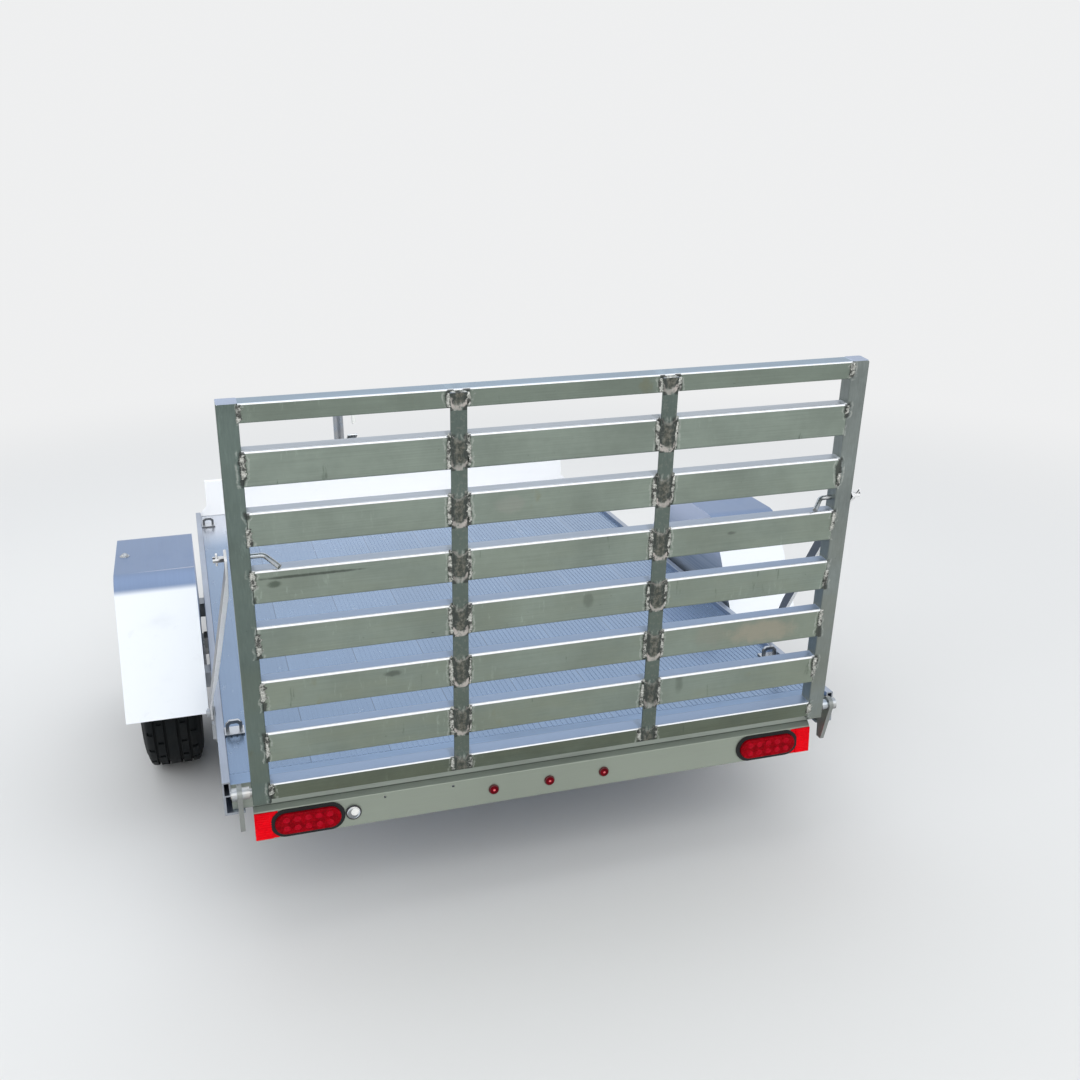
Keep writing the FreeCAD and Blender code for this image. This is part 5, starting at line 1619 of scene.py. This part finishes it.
@dataclass
class Wheels:
    """Tyres with their tread, rims, hubs and lug nuts."""

    shop: Shop
    radius: float = 305.0
    half_width: float = 89.0
    groove: float = 9.0
    steps: int = 96
    studs: int = 5
    nut_circle: float = mm(57.15)
    nut_reach: float = mm(14.0)
    crown_reach: float = mm(24.0)
    valve_reach: float = mm(38.0)
    valve_rise: float = mm(148.0)

    def outline(self) -> list[tuple[float, float]]:
        """Tyre section as (across, radius) in metres, from bead to bead over the tread.

        Returns:
            The section's points.
        """
        half, out = self.half_width, self.radius
        floor = out - self.groove
        wall = [
            (48.0, 165.0), (57.0, 165.5), (58.0, 178.0), (68.0, 186.0), (80.0, 204.0),
            (81.5, 206.0), (half - 1.0, 226.0), (half, 238.0), (half - 0.5, 252.0),
            (half - 3.0, 266.0), (half - 4.5, 268.0), (half - 9.0, out - 22.0),
            (half - 14.0, floor), (half - 21.0, out - 2.5),
        ]
        tread = [
            (54.0, out - 1.5), (53.0, floor), (47.0, floor), (46.0, out - 0.6),
            (24.0, out - 0.2), (23.0, floor), (16.0, floor), (15.0, out - 0.05), (0.0, out),
        ]
        right = [(mm(across), mm(reach)) for across, reach in wall + tread]
        return right + [(-across, reach) for across, reach in reversed(right[:-1])]

    def tyre(self, side: str) -> None:
        """Spin the tyre's section, then press sipes into its ribs.

        Args:
            side: left or right.
        """
        node = "tyre_" + side
        centre = middle(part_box(node))
        points = [(centre.x + across, centre.y, centre.z + reach)
                  for across, reach in self.outline()]
        piece = Bench.trace("tyre_tread_" + side, points)
        Bench.lathe(piece, centre, (1.0, 0.0, 0.0), self.steps)

        def on_rib(face: bmesh.types.BMFace) -> bool:
            """True for every fourth piece of the shoulder and middle ribs.

            Args:
                face: A face of the tyre.

            Returns:
                Whether a sipe is pressed into it.
            """
            spot = face.calc_center_median() - centre
            if math.hypot(spot.y, spot.z) < mm(self.radius - 6.5):
                return False
            across = abs(spot.x)
            turn = math.atan2(spot.z, spot.y) / math.tau * self.steps
            phase = int(turn + 1000.0) % 4
            return (across > mm(54.5) and phase == 0) or (
                mm(25.0) < across < mm(46.0) and phase == 2)

        Bench.pick(piece, "FACE", on_rib)
        bpy.ops.mesh.inset(thickness=mm(2.5), depth=0.0)
        bpy.ops.mesh.extrude_region_shrink_fatten(
            TRANSFORM_OT_shrink_fatten={"value": -mm(5.0)})
        Bench.leave()
        self.shop.gather("tyre_tread_" + side, [piece], "tyre", "tyre_rubber",
                         "wheel_" + side, instead=node)

    def nuts(self, side: str, sign: float) -> None:
        """Lug nuts on the studs, with their crowns, and a valve.

        Args:
            side: left or right.
            sign: -1 for left, 1 for right.
        """
        axle = middle(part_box("tyre_" + side))
        made = []
        for number in range(self.studs):
            angle = math.tau * (number / self.studs + 0.25)
            y = axle.y + self.nut_circle * math.cos(angle)
            z = axle.z + self.nut_circle * math.sin(angle)
            made.append(Bench.cylinder(
                "lug_nut", 11.2, 17.0, (axle.x + sign * self.nut_reach, y, z), "X", 6, 1.6))
            made.append(Bench.cylinder(
                "lug_crown", 9.0, 5.0, (axle.x + sign * self.crown_reach, y, z), "X", 20, 2.0, 3))
        place = (axle.x + sign * self.valve_reach, axle.y, axle.z + self.valve_rise)
        made.append(Bench.cylinder("valve", 4.0, 34.0, place, "X", 16, 1.2))
        self.shop.gather("lug_nuts_" + side, made, "zinc", "zinc_steel", "wheel_" + side)

    def build(self) -> None:
        """Make both wheels and dress the axle."""
        for side, sign in SIDES:
            self.tyre(side)
            self.nuts(side, sign)
            self.shop.paint("rim", "rim_" + side)
            self.shop.paint("iron", "hub_" + side)
            self.shop.paint("spangle", "torsion_arm_" + side)
        self.shop.ease("axle_beam", "spangle", 4.0, along="X")


@dataclass
class Fenders:
    """Box fenders with their bolts, on stays from the rails."""

    shop: Shop
    dome_inset: float = mm(28.0)
    bolt_inset: float = mm(6.0)
    bolt_reach: float = mm(300.0)
    bolt_rows: tuple[float, float] = (mm(385.0), mm(420.0))

    def bolts(self, side: str, sign: float) -> None:
        """One dome bolt with its washer on the fender's top, four bolts in its skirt.

        Args:
            side: left or right.
            sign: -1 for left, 1 for right.
        """
        low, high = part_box("fender_" + side)
        inner, outer = sorted((abs(low.x), abs(high.x)))
        x, y = sign * (outer - self.dome_inset), (low.y + high.y) / 2
        made = [Bench.cylinder("washer", 15.0, 5.0, (x, y, high.z), "Z", 32, 0.8),
                Bench.ball("dome", 10.5, (x, y, high.z + mm(2.0)), (1.0, 1.0, 0.85))]
        for along in (-self.bolt_reach, self.bolt_reach):
            for z in self.bolt_rows:
                place = (sign * (inner + self.bolt_inset), y + along, z)
                made.append(Bench.cylinder("bolt", 9.0, 7.0, place, "X", 6, 1.0))
        self.shop.gather("fender_bolts_" + side, made, "zinc", "zinc_steel")

    def build(self) -> None:
        """Make both fenders."""
        for side, sign in SIDES:
            self.shop.ease("fender_" + side, "sheet", 1.2, shortest=150.0)
            self.bolts(side, sign)
        self.shop.ease("fender_stays", "frame", 2.0, along="X", shortest=5.0)


@dataclass
class Tongue:
    """Tongue, braces, coupler, jack and support arms."""

    shop: Shop
    coupler_rows: tuple[float, float] = (mm(35.0), mm(100.0))
    coupler_rise: float = mm(34.0)
    bracket_inset: tuple[float, float] = (mm(14.0), mm(16.0))

    def coupler_bolts(self) -> None:
        """Bolts through the coupler's sides."""
        low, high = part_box("coupler")
        made = []
        for along in self.coupler_rows:
            for _, sign in SIDES:
                place = (sign * (high.x + mm(3.0)), low.y + along, low.z + self.coupler_rise)
                made.append(Bench.cylinder("coupler_bolt", 10.0, 8.0, place, "X", 6, 1.2))
        self.shop.gather("coupler_bolts", made, "zinc", "zinc_steel")

    def jack_bolts(self) -> None:
        """Bolts of the jack's bracket and the nut on its crank."""
        low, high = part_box("jack_bracket")
        made = []
        ahead, up = self.bracket_inset
        for y in (low.y + ahead, high.y - ahead):
            for z in (low.z + up, high.z - up):
                place = (high.x - mm(11.0), y, z)
                made.append(Bench.cylinder("jack_bolt", 8.0, 8.0, place, "X", 6, 1.0))
        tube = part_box("jack_tube")
        place = (middle(tube).x, middle(tube).y, tube[1].z + mm(22.0))
        made.append(Bench.cylinder("crank_nut", 11.0, 8.0, place, "Z", 6, 1.2))
        self.shop.gather("jack_bolts", made, "dark", "zinc_steel")

    def build(self) -> None:
        """Dress everything ahead of the bed, and the arms."""
        shop = self.shop
        shop.ease("tongue_beam", "frame", 4.0, 3, "Y")
        shop.ease("tongue_braces", "frame", 4.0, 3)
        shop.ease("coupler", "zinc", 1.5, shortest=30.0)
        shop.ease("coupler_latch", "zinc", 1.2, shortest=4.0)
        shop.ease("jack_bracket", "zinc", 1.2, shortest=10.0)
        shop.paint("jack", "jack_tube")
        shop.paint("zinc", "jack_leg")
        shop.ease("jack_crank", "zinc", 1.0, shortest=20.0)
        shop.ease("crank_grip", "grip", 3.0, 3, shortest=0.5)
        self.coupler_bolts()
        self.jack_bolts()
        for side, _ in SIDES:
            shop.ease("support_arm_" + side, "bar", 1.0, shortest=50.0)


# Studio


@dataclass
class Studio:
    """Pale floor, soft lamps and the camera of the reference view."""

    eye: Point = (-0.819, -4.497, 1.913)
    forward: Point = (0.26837, 0.91128, -0.31235)
    right: Point = (0.95802, -0.28646, -0.01262)
    lens: float = 40.225
    horizon: Colour = (0.86, 0.865, 0.87)
    zenith: Colour = (0.66, 0.72, 0.82)
    ambient: Colour = (0.80, 0.82, 0.85)
    ground: Colour = (0.80, 0.80, 0.79)

    def camera(self) -> None:
        """Place the camera."""
        ahead = Vector(self.forward).normalized()
        side = (Vector(self.right) - ahead * Vector(self.right).dot(ahead)).normalized()
        data = bpy.data.cameras.new("camera")
        data.lens = self.lens
        data.sensor_width = 36.0
        data.clip_end = 200.0
        camera = bpy.data.objects.new("camera", data)
        turn = Matrix((side, side.cross(ahead), -ahead)).transposed().to_4x4()
        camera.matrix_world = Matrix.Translation(self.eye) @ turn
        bpy.context.scene.collection.objects.link(camera)
        bpy.context.scene.camera = camera

    def floor(self) -> None:
        """Large pale floor that keeps the trailer's shadow and fades into the horizon."""
        Bench.clear()
        bpy.ops.mesh.primitive_circle_add(vertices=96, radius=60.0, fill_type="NGON")
        floor = bpy.context.object
        floor.name = "floor"
        recipe = Recipe("pale_floor")
        x, y, _ = recipe.axes(recipe.place())
        far = ((x * x + y * y) ** 0.5).step(2.6, 5.8)
        diffuse = recipe.node("ShaderNodeBsdfDiffuse", {"Color": self.ground})
        glow = recipe.node("ShaderNodeEmission", {"Color": self.horizon})
        mixed = recipe.node("ShaderNodeMixShader", {0: far * recipe.seen(), 1: diffuse, 2: glow})
        recipe.node("ShaderNodeOutputMaterial", {"Surface": mixed})
        floor.data.materials.append(recipe.material)

    def world(self) -> None:
        """Pale surroundings that turn a soft blue high overhead."""
        world = bpy.data.worlds.new("studio")
        bpy.context.scene.world = world
        world.use_nodes = True
        graph = Graph(world.node_tree)
        _, _, height = graph.axes(graph.node("ShaderNodeTexCoord", output="Generated"))
        sky = height.step(0.14, 0.75).between(self.horizon, self.zenith)
        shown = graph.node("ShaderNodeBackground", {"Color": sky})
        around = graph.node("ShaderNodeBackground", {"Color": self.ambient})
        mixed = graph.node("ShaderNodeMixShader", {0: graph.seen(), 1: around, 2: shown})
        graph.node("ShaderNodeOutputWorld", {"Surface": mixed})

    def lamp(self, name: str, place: Point, aim: Point, size: tuple[float, float],
             power: float, colour: Colour, spread: float = 180.0) -> None:
        """One soft rectangular lamp.

        Args:
            name: The lamp's name.
            place: Where it hangs.
            aim: The point that it faces.
            size: Its two sides.
            power: Watts.
            colour: Its light.
            spread: Angle in degrees that the light keeps to.
        """
        data = bpy.data.lights.new(name, "AREA")
        data.shape = "RECTANGLE"
        data.size, data.size_y = size
        data.energy = power
        data.color = colour
        data.spread = math.radians(spread)
        lamp = bpy.data.objects.new(name, data)
        lamp.location = place
        lamp.rotation_mode = "QUATERNION"
        lamp.rotation_quaternion = (Vector(aim) - Vector(place)).to_track_quat("-Z", "Y")
        bpy.context.scene.collection.objects.link(lamp)

    def build(self) -> None:
        """Set up the studio."""
        bpy.context.scene.view_settings.view_transform = "Standard"
        self.camera()
        self.floor()
        self.world()
        self.lamp("key", (0.6, -7.5, 5.0), (0.0, -1.0, 0.6), (12.0, 6.0), 200.0,
                  (1.0, 0.985, 0.96))
        self.lamp("top", (0.0, 0.5, 6.0), (0.0, 0.0, 0.0), (6.0, 6.0), 60.0,
                  (0.92, 0.96, 1.0))
        self.lamp("side", (-6.0, -1.0, 3.0), (0.0, -0.5, 0.5), (3.0, 3.0), 40.0,
                  (0.96, 0.98, 1.0))
        self.lamp("wall", (0.0, -1.0, 2.4), (0.0, 0.6, 0.5), (1.6, 0.8), 3.0,
                  (1.0, 0.99, 0.96), 75.0)


def main(frame: dict[str, Any]) -> None:
    """Build every sub-assembly in order.

    Args:
        frame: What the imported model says.
    """
    hinge = next(j["pos_m"] for j in frame["joints"] if j["name"] == "gate_hinge")
    sizes = GateSizes(hinge=(hinge[1], hinge[2]))
    shop = Shop(frame, Finishes(sizes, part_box("deck_planks")[1].y))
    for part in (Gate(shop, sizes), Bed(shop), Lights(shop), Wheels(shop), Fenders(shop),
                 Tongue(shop)):
        part.build()
        LOG.info("%s done", type(part).__name__)
    Studio().build()


if __name__ == "__main__":
    logging.basicConfig(level=logging.INFO, format="%(message)s")
    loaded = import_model()
    main(loaded)
